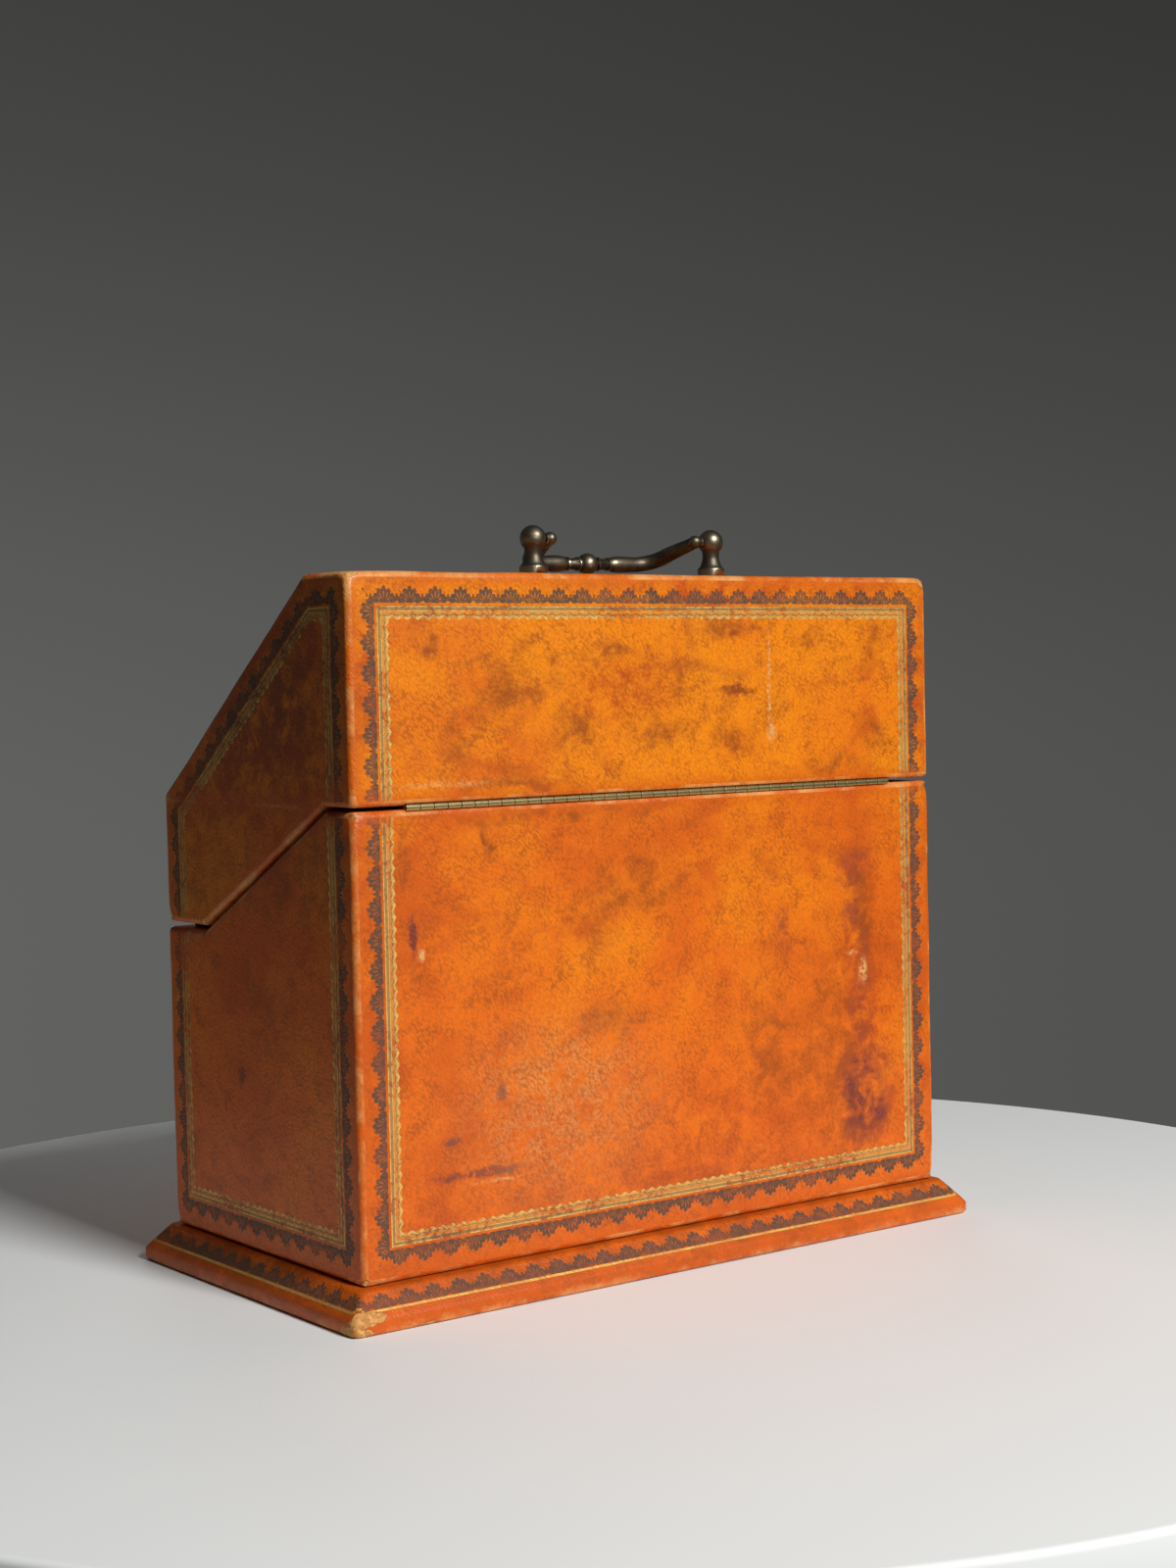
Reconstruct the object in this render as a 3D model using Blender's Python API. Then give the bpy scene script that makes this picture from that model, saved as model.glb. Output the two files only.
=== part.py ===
"""Leather-covered stationery box with a sloping lid, a long brass hinge and a bail handle.

The box stands on z = 0 with its hinge at the back (+Y) and its sloping front at -Y.
All sizes are in metres.
"""
from math import asin, cos, hypot, pi, radians, sin

import bmesh
import bpy
from mathutils import Matrix, Vector

MM = 0.001

# Overall sizes of the leather-covered box
WIDTH = 240.0 * MM
DEPTH = 121.0 * MM
BODY_BACK_HEIGHT = 143.1 * MM
BODY_FRONT_HEIGHT = 101.3 * MM
LID_BACK_GAP = 1.3 * MM
LID_FRONT_GAP = 1.8 * MM
LID_BACK_HEIGHT = 70.8 * MM
LID_FRONT_HEIGHT = 43.0 * MM
FLAT_TOP_DEPTH = 25.8 * MM
SEAM_STEP_BACK = 16.5 * MM
SEAM_STEP_FRONT = 25.4 * MM
EDGE_ROUND = 1.8 * MM
EDGE_SEGMENTS = 3

# Stock
LEATHER = 1.0 * MM
TURNED_EDGE = 2.0 * MM
BOARD = 5.0 * MM
SEAT_GAP = 0.3 * MM
MITRE_EASE = 0.2 * MM
OVERRUN = 5.0 * MM
MERGE_DISTANCE = 0.001 * MM
SHARP_ANGLE = radians(40)
ROUNDED_ANGLE = radians(30)

# Plinth
PLINTH_HEIGHT = 12.3 * MM
PLINTH_OVERHANG = 8.5 * MM
PLINTH_LEDGE = 1.7 * MM
PLINTH_SHOULDER_DROP = 0.9 * MM
PLINTH_SHOULDER_RUN = 0.9 * MM
PLINTH_BAND = 4.0 * MM
PLINTH_BAND_EASE = 0.9 * MM
PLINTH_EDGE_DROP = 1.3 * MM
PLINTH_FOOT_EASE = 0.6 * MM
PLINTH_CORNER = 2.6 * MM
PLINTH_TURN_IN = 4.0 * MM
CORNER_STEPS = 4
PAD = 0.8 * MM

# Lining and dividers
LINING = 1.2 * MM
LID_LINING = 1.0 * MM
GROOVED_LINING = 3.0 * MM
GROOVE_DEPTH = 1.2 * MM
LINING_SINK = 0.8 * MM
DIVIDER = 2.4 * MM
DIVIDER_BACK_STEP = 28.0 * MM
DIVIDER_FRONT_STEP = 21.4 * MM
DIVIDER_MIDDLE_SHARE = 15 / 28
DIVIDER_BACK_HEIGHT = 158.0 * MM
DIVIDER_MIDDLE_HEIGHT = 133.0 * MM
DIVIDER_FRONT_HEIGHT = 108.0 * MM
DIVIDER_SHOULDER = 10.0 * MM
DIVIDER_SCOOP_WIDTH = 70.0 * MM
DIVIDER_SCOOP_DEPTH = 9.0 * MM
SHOULDER_STEPS = 4
SCOOP_STEPS = 12

# Hinge
KNUCKLE_PITCH = 5.02 * MM
HINGE_END_MARGIN = 19.6 * MM
KNUCKLE_PLAY = 0.12 * MM
HINGE_SHEET = 0.5 * MM
HINGE_PIN_RADIUS = 0.58 * MM
HINGE_PIN_PLAY = 0.1 * MM
HINGE_INSET = 1.2 * MM
HINGE_LEAF_REACH = 4.8 * MM
HINGE_LEAF_LIFT = 0.2 * MM
CURL_SLIT = 0.18 * MM
CURL_STEPS = 14
HINGE_NAILS = 5
HINGE_NAIL_SETBACK = 3.2 * MM
NAIL_HEAD_RADIUS = 0.8 * MM
NAIL_SHANK_RADIUS = 0.45 * MM
NAIL_LENGTH = 6.0 * MM
NAIL_PLAY = 0.15 * MM
NAIL_STEPS = 12

# Handle posts
POST_SPREAD = 74.6 * MM
POST_SETBACK = 19.7 * MM
POST_BALL_RADIUS = 4.3 * MM
POST_BALL_HEIGHT = 12.2 * MM
POST_NECK_RADIUS = 2.8 * MM
POST_NECK_HEIGHT = 7.2 * MM
POST_FLANGE_RADIUS = 4.7 * MM
POST_FLANGE_HEIGHT = 3.4 * MM
POST_FLANGE_EASE = 0.4 * MM
POST_FLARE_SHARE = 0.66
POST_FLARE_CURVE = 1.7
POST_COVE_SHARE = 1.05
POST_STUD_RADIUS = 1.6 * MM
POST_STUD_LENGTH = 6.0 * MM
STUD_PLAY = 0.2 * MM
TURNED_STEPS = 20
BALL_STEPS = 8
NECK_STEPS = 6
NUT_RADIUS = 2.9 * MM
NUT_THICKNESS = 1.9 * MM
WASHER_THICKNESS = 0.5 * MM
NUT_POCKET_DEPTH = 3.3 * MM

# Bail
BAIL_REACH = 21.8 * MM
BAIL_DROOP = radians(18.0)
BAIL_KNUCKLE_RADIUS = 2.25 * MM
BAIL_KNUCKLE_NECK = 1.6 * MM
BAIL_COLLAR_RADIUS = 1.9 * MM
BAIL_COLLAR = 0.7 * MM
BAIL_PIN_RADIUS = 0.95 * MM
BAIL_PIN_LENGTH = 3.2 * MM
BAIL_PIN_PLAY = 0.1 * MM
BAIL_SPLAY = 2.6 * MM
BAIL_ARM_RADIUS = 2.05 * MM
BAIL_CORNER_RADIUS = 8.5 * MM
BAIL_BEND_RADIUS = 2.6 * MM
BAIL_SWELL_RADIUS = 2.9 * MM
BAIL_SWELL_SKEW = 0.6
BAIL_GRIP_NECK = 2.0 * MM
BAIL_RING_RADIUS = 2.35 * MM
BAIL_RING = 0.8 * MM
BAIL_BALL_RADIUS = 3.7 * MM
BAIL_RING_PLACE = 8.6 * MM
BAIL_COLLET_PLACE = 4.2 * MM
BAIL_COLLET_RADIUS = 2.4 * MM
BAIL_CONE_RADIUS = 2.1 * MM
BAIL_WAIST_RADIUS = 1.75 * MM
BAIL_SIDES = 16
BAIL_BALL_STEPS = 5
BAIL_CORNER_STEPS = 8
BAIL_ARM_STEPS = 6
BAIL_GRIP_STEPS = 8

# Heights and planes worked out from the sizes above
HALF_WIDTH = WIDTH / 2
HALF_DEPTH = DEPTH / 2
BODY_BOTTOM = PLINTH_HEIGHT + SEAT_GAP
BODY_BACK_TOP = PLINTH_HEIGHT + BODY_BACK_HEIGHT
BODY_FRONT_TOP = PLINTH_HEIGHT + BODY_FRONT_HEIGHT
LID_BACK_BOTTOM = BODY_BACK_TOP + LID_BACK_GAP
LID_FRONT_BOTTOM = BODY_FRONT_TOP + LID_FRONT_GAP
LID_TOP = LID_BACK_BOTTOM + LID_BACK_HEIGHT
SLOPE_FOOT = LID_FRONT_BOTTOM + LID_FRONT_HEIGHT
SEAM_BACK_Y = HALF_DEPTH - SEAM_STEP_BACK
SEAM_FRONT_Y = SEAM_STEP_FRONT - HALF_DEPTH
FLAT_FRONT_Y = HALF_DEPTH - FLAT_TOP_DEPTH
KNUCKLES = round((WIDTH - 2 * HINGE_END_MARGIN) / KNUCKLE_PITCH)
HINGE_LENGTH = KNUCKLES * KNUCKLE_PITCH
HINGE_Y = HALF_DEPTH - HINGE_INSET
HINGE_Z = BODY_BACK_TOP + LID_BACK_GAP / 2
SKIN = LEATHER + SEAT_GAP
WALL = SKIN + BOARD
EDGE_SEAT = TURNED_EDGE + SEAT_GAP
POST_Y = HALF_DEPTH - POST_SETBACK
BAIL_Z = LID_TOP + POST_BALL_HEIGHT

BODY_OUTLINE = [
    (-HALF_DEPTH, BODY_BOTTOM),
    (HALF_DEPTH, BODY_BOTTOM),
    (HALF_DEPTH, BODY_BACK_TOP),
    (SEAM_BACK_Y, BODY_BACK_TOP),
    (SEAM_FRONT_Y, BODY_FRONT_TOP),
    (-HALF_DEPTH, BODY_FRONT_TOP),
]
LID_OUTLINE = [
    (-HALF_DEPTH, LID_FRONT_BOTTOM),
    (SEAM_FRONT_Y, LID_FRONT_BOTTOM),
    (SEAM_BACK_Y, LID_BACK_BOTTOM),
    (HALF_DEPTH, LID_BACK_BOTTOM),
    (HALF_DEPTH, LID_TOP),
    (FLAT_FRONT_Y, LID_TOP),
    (-HALF_DEPTH, SLOPE_FOOT),
]


def clear_scene():
    for old in list(bpy.data.objects):
        bpy.data.objects.remove(old, do_unlink=True)


def finish(name, colour, roughness, metallic=0.0):
    mat = bpy.data.materials.new(name)
    mat.use_nodes = True
    shader = mat.node_tree.nodes["Principled BSDF"]
    shader.inputs["Base Color"].default_value = (*colour, 1.0)
    shader.inputs["Roughness"].default_value = roughness
    shader.inputs["Metallic"].default_value = metallic
    mat.diffuse_color = (*colour, 1.0)
    return mat


FINISHES = {
    "calf": ((0.60, 0.19, 0.04), 0.45, 0.0),
    "wood": ((0.55, 0.38, 0.22), 0.75, 0.0),
    "felt": ((0.05, 0.09, 0.06), 0.95, 0.0),
    "silk": ((0.60, 0.50, 0.33), 0.6, 0.0),
    "brass": ((0.78, 0.56, 0.25), 0.3, 1.0),
    "bronze": ((0.14, 0.10, 0.05), 0.25, 1.0),
    "steel": ((0.45, 0.44, 0.42), 0.4, 1.0),
}


def add(name, bm, kind):
    """Make one object from a bmesh, with a material of its own."""
    bmesh.ops.recalc_face_normals(bm, faces=bm.faces)
    mesh = bpy.data.meshes.new(name)
    bm.to_mesh(mesh)
    bm.free()
    obj = bpy.data.objects.new(name, mesh)
    bpy.context.scene.collection.objects.link(obj)
    if kind:
        mesh.materials.append(finish(name, *FINISHES[kind]))
    return obj


def extrude(points, direction, length):
    """A bmesh prism: a flat outline pushed along a direction."""
    bm = bmesh.new()
    face = bm.faces.new([bm.verts.new(p) for p in points])
    grown = bmesh.ops.extrude_face_region(bm, geom=[face])
    moved = [v for v in grown["geom"] if isinstance(v, bmesh.types.BMVert)]
    bmesh.ops.translate(bm, verts=moved, vec=Vector(direction) * length)
    return bm


def side_prism(name, outline, low, high, kind):
    """An outline in Y and Z, pushed along X."""
    points = [(low, y, z) for y, z in outline]
    return add(name, extrude(points, (1, 0, 0), high - low), kind)


def front_prism(name, outline, low, high, kind):
    """An outline in X and Z, pushed along Y."""
    points = [(x, low, z) for x, z in outline]
    return add(name, extrude(points, (0, 1, 0), high - low), kind)


def block(name, xs, ys, zs, kind):
    outline = [(ys[0], zs[0]), (ys[1], zs[0]), (ys[1], zs[1]), (ys[0], zs[1])]
    return side_prism(name, outline, xs[0], xs[1], kind)


def rods(name, places, radius, low, high, kind, axis="Z", steps=NAIL_STEPS):
    """Round rods from low to high along an axis, one at each place."""
    bm = bmesh.new()
    turn = Matrix.Rotation(pi / 2, 4, "Y") if axis == "X" else Matrix.Identity(4)
    for place in places:
        middle = Matrix.Translation(Vector(place)) @ turn @ Matrix.Translation((0, 0, (low + high) / 2))
        bmesh.ops.create_cone(bm, cap_ends=True, segments=steps, radius1=radius, radius2=radius,
                              depth=high - low, matrix=middle)
    return add(name, bm, kind)


def lathe(name, profile, place, kind, steps=TURNED_STEPS, axis="Z"):
    """Turn a profile of (radius, height) whose ends lie on the axis."""
    bm = bmesh.new()
    verts = [bm.verts.new((r, 0, z)) for r, z in profile]
    edges = [bm.edges.new(pair) for pair in zip(verts, verts[1:])]
    bmesh.ops.spin(bm, geom=verts + edges, cent=(0, 0, 0), axis=(0, 0, 1), angle=2 * pi,
                   steps=steps, use_merge=True)
    bmesh.ops.remove_doubles(bm, verts=bm.verts, dist=MERGE_DISTANCE)
    if axis == "X":
        bmesh.ops.rotate(bm, verts=bm.verts, cent=(0, 0, 0), matrix=Matrix.Rotation(pi / 2, 3, "Y"))
    bmesh.ops.translate(bm, verts=bm.verts, vec=place)
    obj = add(name, bm, kind)
    obj.data.shade_smooth()
    obj.data.set_sharp_from_angle(angle=SHARP_ANGLE)
    return obj


def as_cutter(obj):
    obj.hide_render = True
    obj.display_type = "WIRE"
    return obj


def boolean(obj, other, operation="DIFFERENCE", solver="EXACT"):
    mod = obj.modifiers.new(operation.title(), "BOOLEAN")
    mod.operation = operation
    mod.solver = solver
    mod.object = as_cutter(other)


def round_edges(obj, width=EDGE_ROUND, segments=EDGE_SEGMENTS):
    mod = obj.modifiers.new("Rounded edges", "BEVEL")
    mod.width = width
    mod.segments = segments
    mod.limit_method = "ANGLE"
    mod.angle_limit = ROUNDED_ANGLE


def inset(outline, distances):
    """Move each edge of an outline inwards by its own distance. Edge i runs from point i."""
    count = len(outline)
    lines = []
    for i, distance in enumerate(distances):
        (ay, az), (by, bz) = outline[i], outline[(i + 1) % count]
        length = hypot(by - ay, bz - az)
        normal = ((az - bz) / length, (by - ay) / length)
        lines.append((normal, normal[0] * ay + normal[1] * az + distance))
    points = []
    for i in range(count):
        (n1, c1), (n2, c2) = lines[i - 1], lines[i]
        det = n1[0] * n2[1] - n1[1] * n2[0]
        points.append(((c1 * n2[1] - c2 * n1[1]) / det, (n1[0] * c2 - n2[0] * c1) / det))
    return points


def body_inset(walls, bottom, top):
    return inset(BODY_OUTLINE, [bottom, walls, top, top, top, walls])


def lid_inset(walls, bottom):
    return inset(LID_OUTLINE, [bottom, bottom, bottom, walls, walls, walls, walls])


def plan_corner(half_x, half_y, radius):
    """A rounded rectangle in plan, with the same number of points whatever its size."""
    points = []
    for sx, sy, start in ((1, 1, 0.0), (-1, 1, pi / 2), (-1, -1, pi), (1, -1, 3 * pi / 2)):
        for step in range(CORNER_STEPS + 1):
            angle = start + step * pi / 2 / CORNER_STEPS
            x = sx * (half_x - radius) + radius * cos(angle)
            y = sy * (half_y - radius) + radius * sin(angle)
            points.append((x, y))
    return points


def stack(name, levels, kind):
    """A closed solid lofted through rounded rectangles, each (half_x, half_y, radius, z)."""
    bm = bmesh.new()
    rings = []
    for half_x, half_y, radius, z in levels:
        rings.append([bm.verts.new((x, y, z)) for x, y in plan_corner(half_x, half_y, radius)])
    bm.faces.new(rings[0])
    bm.faces.new(rings[-1])
    for low, high in zip(rings, rings[1:]):
        for i in range(len(low)):
            j = (i + 1) % len(low)
            bm.faces.new((low[i], low[j], high[j], high[i]))
    return add(name, bm, kind)


def plinth_levels(inside, base, top_drop):
    """The plinth's moulded edge, moved inwards, as levels from the foot to the ledge."""
    slope_run = PLINTH_OVERHANG - PLINTH_LEDGE - PLINTH_SHOULDER_RUN
    profile = [
        (PLINTH_OVERHANG - PLINTH_FOOT_EASE, base),
        (PLINTH_OVERHANG, base + PLINTH_FOOT_EASE),
        (PLINTH_OVERHANG, PLINTH_BAND),
        (PLINTH_OVERHANG - PLINTH_BAND_EASE, PLINTH_BAND + PLINTH_EDGE_DROP),
        (PLINTH_OVERHANG - slope_run, PLINTH_HEIGHT - PLINTH_SHOULDER_DROP),
        (PLINTH_LEDGE, PLINTH_HEIGHT),
    ]
    levels = []
    for out, z in profile:
        radius = max(PLINTH_CORNER * (HALF_DEPTH + out) / (HALF_DEPTH + PLINTH_OVERHANG) - inside, LEATHER)
        level_z = z if z <= PLINTH_BAND else z - top_drop
        levels.append((HALF_WIDTH + out - inside, HALF_DEPTH + out - inside, radius, level_z))
    return levels


def make_plinth():
    field_x = HALF_WIDTH - PLINTH_TURN_IN
    field_y = HALF_DEPTH - PLINTH_TURN_IN
    core = plinth_levels(SKIN, PAD + SEAT_GAP, SKIN)
    ledge = core[-1][3]
    core += [(field_x - SEAT_GAP, field_y - SEAT_GAP, LEATHER, ledge),
             (field_x - SEAT_GAP, field_y - SEAT_GAP, LEATHER, PLINTH_HEIGHT)]
    stack("plinth_core", core, "wood")
    cover = stack("plinth_leather", plinth_levels(0, SEAT_GAP, 0), "calf")
    hollow = plinth_levels(LEATHER, SEAT_GAP - OVERRUN, LEATHER)
    boolean(cover, stack("cut_plinth_core", hollow, None))
    well = (PLINTH_HEIGHT - OVERRUN, PLINTH_HEIGHT + OVERRUN)
    boolean(cover, block("cut_plinth_field", (-field_x, field_x), (-field_y, field_y), well, None))
    pad_x = HALF_WIDTH + PLINTH_OVERHANG - PLINTH_FOOT_EASE - SKIN
    pad_y = HALF_DEPTH + PLINTH_OVERHANG - PLINTH_FOOT_EASE - SKIN
    stack("base_pad", [(pad_x, pad_y, LEATHER, 0), (pad_x, pad_y, LEATHER, PAD)], "felt")


def make_body_boards():
    side = body_inset(SKIN, 0, EDGE_SEAT)
    between = HALF_WIDTH - WALL - SEAT_GAP
    for name, sign in (("body_left_board", -1), ("body_right_board", 1)):
        faces = sorted((sign * (HALF_WIDTH - WALL), sign * (HALF_WIDTH - SKIN)))
        side_prism(name, side, *faces, "wood")
    inner_y = HALF_DEPTH - WALL
    outer_y = HALF_DEPTH - SKIN
    block("body_back_board", (-between, between), (inner_y, outer_y),
          (BODY_BOTTOM, BODY_BACK_TOP - EDGE_SEAT), "wood")
    block("body_front_board", (-between, between), (-outer_y, -inner_y),
          (BODY_BOTTOM, BODY_FRONT_TOP - EDGE_SEAT), "wood")
    floor_y = inner_y - SEAT_GAP
    block("body_floor", (-between, between), (-floor_y, floor_y),
          (BODY_BOTTOM, BODY_BOTTOM + BOARD), "wood")


def make_body_leather():
    cover = side_prism("body_leather", BODY_OUTLINE, -HALF_WIDTH, HALF_WIDTH, "calf")
    round_edges(cover)
    room = HALF_WIDTH - LEATHER
    boards = side_prism("cut_body_boards", body_inset(LEATHER, -OVERRUN, TURNED_EDGE), -room, room, None)
    boolean(cover, boards)
    mouth = HALF_WIDTH - WALL
    hollow = side_prism("cut_body_mouth", body_inset(WALL, -OVERRUN, -OVERRUN), -mouth, mouth, None)
    boolean(cover, hollow)
    return cover


def divider_places():
    """Where the middle of each divider stands, from the back forwards."""
    room = HALF_DEPTH - WALL - SEAT_GAP - LINING
    back = room - DIVIDER_BACK_STEP
    front = DIVIDER_FRONT_STEP - room
    middle = back - (back - front) * DIVIDER_MIDDLE_SHARE
    return [("divider_back", back, DIVIDER_BACK_HEIGHT),
            ("divider_middle", middle, DIVIDER_MIDDLE_HEIGHT),
            ("divider_front", front, DIVIDER_FRONT_HEIGHT)]


def make_body_lining():
    floor_top = BODY_BOTTOM + BOARD
    bottom = floor_top + SEAT_GAP
    reach = HALF_WIDTH - WALL - SEAT_GAP
    wall_y = HALF_DEPTH - WALL - SEAT_GAP
    block("lining_back", (-reach, reach), (wall_y - LINING, wall_y),
          (bottom, BODY_BACK_TOP - LINING_SINK), "silk")
    block("lining_front", (-reach, reach), (-wall_y, LINING - wall_y),
          (bottom, BODY_FRONT_TOP - LINING_SINK), "silk")
    side_y = wall_y - LINING - SEAT_GAP
    outline = body_inset(HALF_DEPTH - side_y, bottom - BODY_BOTTOM, LINING_SINK)
    inner = reach - GROOVED_LINING
    floor_x = inner - SEAT_GAP
    block("lining_floor", (-floor_x, floor_x), (-side_y, side_y), (bottom, bottom + LINING), "silk")
    half_slot = DIVIDER / 2 + SEAT_GAP
    for name, sign in (("lining_left", -1), ("lining_right", 1)):
        lining = side_prism(name, outline, *sorted((sign * inner, sign * reach)), "silk")
        groove = sorted((sign * (inner - OVERRUN), sign * (inner + GROOVE_DEPTH)))
        for part, place, height in divider_places():
            slot = block(f"cut_{name}_{part}", groove, (place - half_slot, place + half_slot),
                         (bottom - OVERRUN, BODY_BACK_TOP + OVERRUN), None)
            boolean(lining, slot)


def divider_outline(half, bottom, top):
    """A board with rounded shoulders and a shallow scoop for the fingers."""
    points = [(-half, bottom), (half, bottom)]
    for step in range(SHOULDER_STEPS + 1):
        angle = pi / 2 * step / SHOULDER_STEPS
        points.append((half - DIVIDER_SHOULDER * (1 - cos(angle)), top - DIVIDER_SHOULDER * (1 - sin(angle))))
    for step in range(SCOOP_STEPS + 1):
        share = 1 - 2 * step / SCOOP_STEPS
        dip = DIVIDER_SCOOP_DEPTH * (1 + cos(pi * share)) / 2
        points.append((share * DIVIDER_SCOOP_WIDTH / 2, top - dip))
    for step in range(SHOULDER_STEPS + 1):
        angle = pi / 2 * (1 + step / SHOULDER_STEPS)
        points.append((-half + DIVIDER_SHOULDER * (1 + cos(angle)), top - DIVIDER_SHOULDER * (1 - sin(angle))))
    return points


def make_dividers():
    bottom = BODY_BOTTOM + BOARD + 2 * SEAT_GAP + LINING
    half = HALF_WIDTH - WALL - SEAT_GAP - GROOVED_LINING + GROOVE_DEPTH - SEAT_GAP
    for name, place, height in divider_places():
        outline = divider_outline(half, bottom, PLINTH_HEIGHT + height)
        front_prism(name, outline, place - DIVIDER / 2, place + DIVIDER / 2, "silk")


def make_lid_boards():
    outer = lid_inset(SKIN, EDGE_SEAT)
    inner = lid_inset(WALL, EDGE_SEAT)
    for name, sign in (("lid_left_board", -1), ("lid_right_board", 1)):
        faces = sorted((sign * (HALF_WIDTH - WALL), sign * (HALF_WIDTH - SKIN)))
        side_prism(name, outer, *faces, "wood")
    between = HALF_WIDTH - WALL - SEAT_GAP
    boards = {}
    for name, i in (("lid_back_board", 3), ("lid_top_board", 4), ("lid_slope_board", 5), ("lid_front_board", 6)):
        j = (i + 1) % len(outer)
        length = hypot(outer[j][0] - outer[i][0], outer[j][1] - outer[i][1])
        ease_y = MITRE_EASE * (outer[j][0] - outer[i][0]) / length
        ease_z = MITRE_EASE * (outer[j][1] - outer[i][1]) / length
        strip = [(outer[i][0] + ease_y, outer[i][1] + ease_z), (outer[j][0] - ease_y, outer[j][1] - ease_z),
                 (inner[j][0] - ease_y, inner[j][1] - ease_z), (inner[i][0] + ease_y, inner[i][1] + ease_z)]
        boards[name] = side_prism(name, strip, -between, between, "wood")
    return boards


def make_lid_leather():
    cover = side_prism("lid_leather", LID_OUTLINE, -HALF_WIDTH, HALF_WIDTH, "calf")
    round_edges(cover)
    room = HALF_WIDTH - LEATHER
    boolean(cover, side_prism("cut_lid_boards", lid_inset(LEATHER, TURNED_EDGE), -room, room, None))
    mouth = HALF_WIDTH - WALL
    boolean(cover, side_prism("cut_lid_mouth", lid_inset(WALL, -OVERRUN), -mouth, mouth, None))
    return cover


def make_lid_lining():
    face = WALL + SEAT_GAP
    outer = lid_inset(face, LINING_SINK)
    inner = lid_inset(face + LID_LINING, LINING_SINK)
    reach = HALF_WIDTH - face
    order = [3, 4, 5, 6, 0]
    band = [outer[i] for i in order] + [inner[i] for i in reversed(order)]
    half = reach - LID_LINING - SEAT_GAP
    side_prism("lid_lining_band", band, -half, half, "silk")
    for name, sign in (("lid_lining_left", -1), ("lid_lining_right", 1)):
        side_prism(name, outer, *sorted((sign * (reach - LID_LINING), sign * reach)), "silk")


def curl_outline(flip):
    """A hinge leaf seen from its end: a flat strip rolled round the pin. flip mirrors it in height."""
    bore = HINGE_PIN_RADIUS + HINGE_PIN_PLAY
    barrel = bore + HINGE_SHEET
    low = -HINGE_LEAF_LIFT - HINGE_SHEET
    high = -HINGE_LEAF_LIFT
    start = pi + asin(-low / barrel)
    end = 3 * pi - asin((CURL_SLIT - HINGE_LEAF_LIFT) / barrel)
    points = [(-HINGE_LEAF_REACH, high), (-HINGE_LEAF_REACH, low)]
    for step in range(CURL_STEPS + 1):
        angle = start + (end - start) * step / CURL_STEPS
        points.append((barrel * cos(angle), barrel * sin(angle)))
    inner_end = 3 * pi - asin((CURL_SLIT - HINGE_LEAF_LIFT) / bore)
    inner_start = pi + asin(-high / bore)
    for step in range(CURL_STEPS + 1):
        angle = inner_end + (inner_start - inner_end) * step / CURL_STEPS
        points.append((bore * cos(angle), bore * sin(angle)))
    return [(HINGE_Y + y, HINGE_Z + (-z if flip else z)) for y, z in points]


def knuckle_gaps(name, first):
    """Cutters that take every second knuckle off a leaf."""
    barrel = HINGE_PIN_RADIUS + HINGE_PIN_PLAY + HINGE_SHEET
    room = barrel + SEAT_GAP
    bm = bmesh.new()
    for index in range(first, KNUCKLES, 2):
        centre = (index + 0.5 - KNUCKLES / 2) * KNUCKLE_PITCH
        size = (KNUCKLE_PITCH + 2 * KNUCKLE_PLAY, 2 * room, 2 * room)
        place = Matrix.Translation((centre, HINGE_Y, HINGE_Z)) @ Matrix.Diagonal((*size, 1))
        bmesh.ops.create_cube(bm, size=1, matrix=place)
    return add(name, bm, None)


def nail_places():
    step = HINGE_LENGTH / HINGE_NAILS
    first = -step * (HINGE_NAILS - 1) / 2
    return [(first + i * step, HINGE_Y - HINGE_NAIL_SETBACK, HINGE_Z) for i in range(HINGE_NAILS)]


def make_hinge(body_parts, lid_parts):
    half = HINGE_LENGTH / 2
    barrel = HINGE_PIN_RADIUS + HINGE_PIN_PLAY + HINGE_SHEET
    rods("hinge_pin", [(0, HINGE_Y, HINGE_Z)], HINGE_PIN_RADIUS, -half, half, "brass", "X")
    seat = HINGE_LEAF_LIFT + HINGE_SHEET + SEAT_GAP
    hole = NAIL_HEAD_RADIUS + NAIL_PLAY
    shank_hole = NAIL_SHANK_RADIUS + NAIL_PLAY
    groove = rods("cut_hinge_groove", [(0, HINGE_Y, HINGE_Z)], barrel + SEAT_GAP,
                  -half - SEAT_GAP, half + SEAT_GAP, None, "X", CURL_STEPS)
    rebate = block("cut_hinge_rebate", (-half - SEAT_GAP, half + SEAT_GAP),
                   (HALF_DEPTH - WALL - OVERRUN, HINGE_Y), (HINGE_Z - seat, HINGE_Z + seat), None)
    pilot = NAIL_LENGTH + SEAT_GAP
    pilots = rods("cut_nail_pilots", nail_places(), shank_hole, -pilot, pilot, None)
    heads = rods("cut_nail_heads", nail_places(), hole, -seat, seat, None)
    for side, sign, flip, parts in (("body", -1, False, body_parts), ("lid", 1, True, lid_parts)):
        leaf = side_prism(f"hinge_{side}_leaf", curl_outline(flip), -half, half, "brass")
        boolean(leaf, knuckle_gaps(f"cut_{side}_knuckles", 1 if sign < 0 else 0))
        boolean(leaf, heads)
        leather, board = parts
        boolean(leather, groove)
        boolean(leather, rebate)
        boolean(leather, pilots)
        boolean(board, pilots)
        head_low = HINGE_LEAF_LIFT
        head_high = HINGE_LEAF_LIFT + HINGE_SHEET
        profile = [(0, sign * head_low), (NAIL_HEAD_RADIUS, sign * head_low),
                   (NAIL_HEAD_RADIUS, sign * head_high), (NAIL_SHANK_RADIUS, sign * head_high),
                   (NAIL_SHANK_RADIUS, sign * NAIL_LENGTH), (0, sign * NAIL_LENGTH)]
        for number, place in enumerate(nail_places(), 1):
            lathe(f"hinge_{side}_nail_{number}", profile, place, "brass", NAIL_STEPS)


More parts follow.
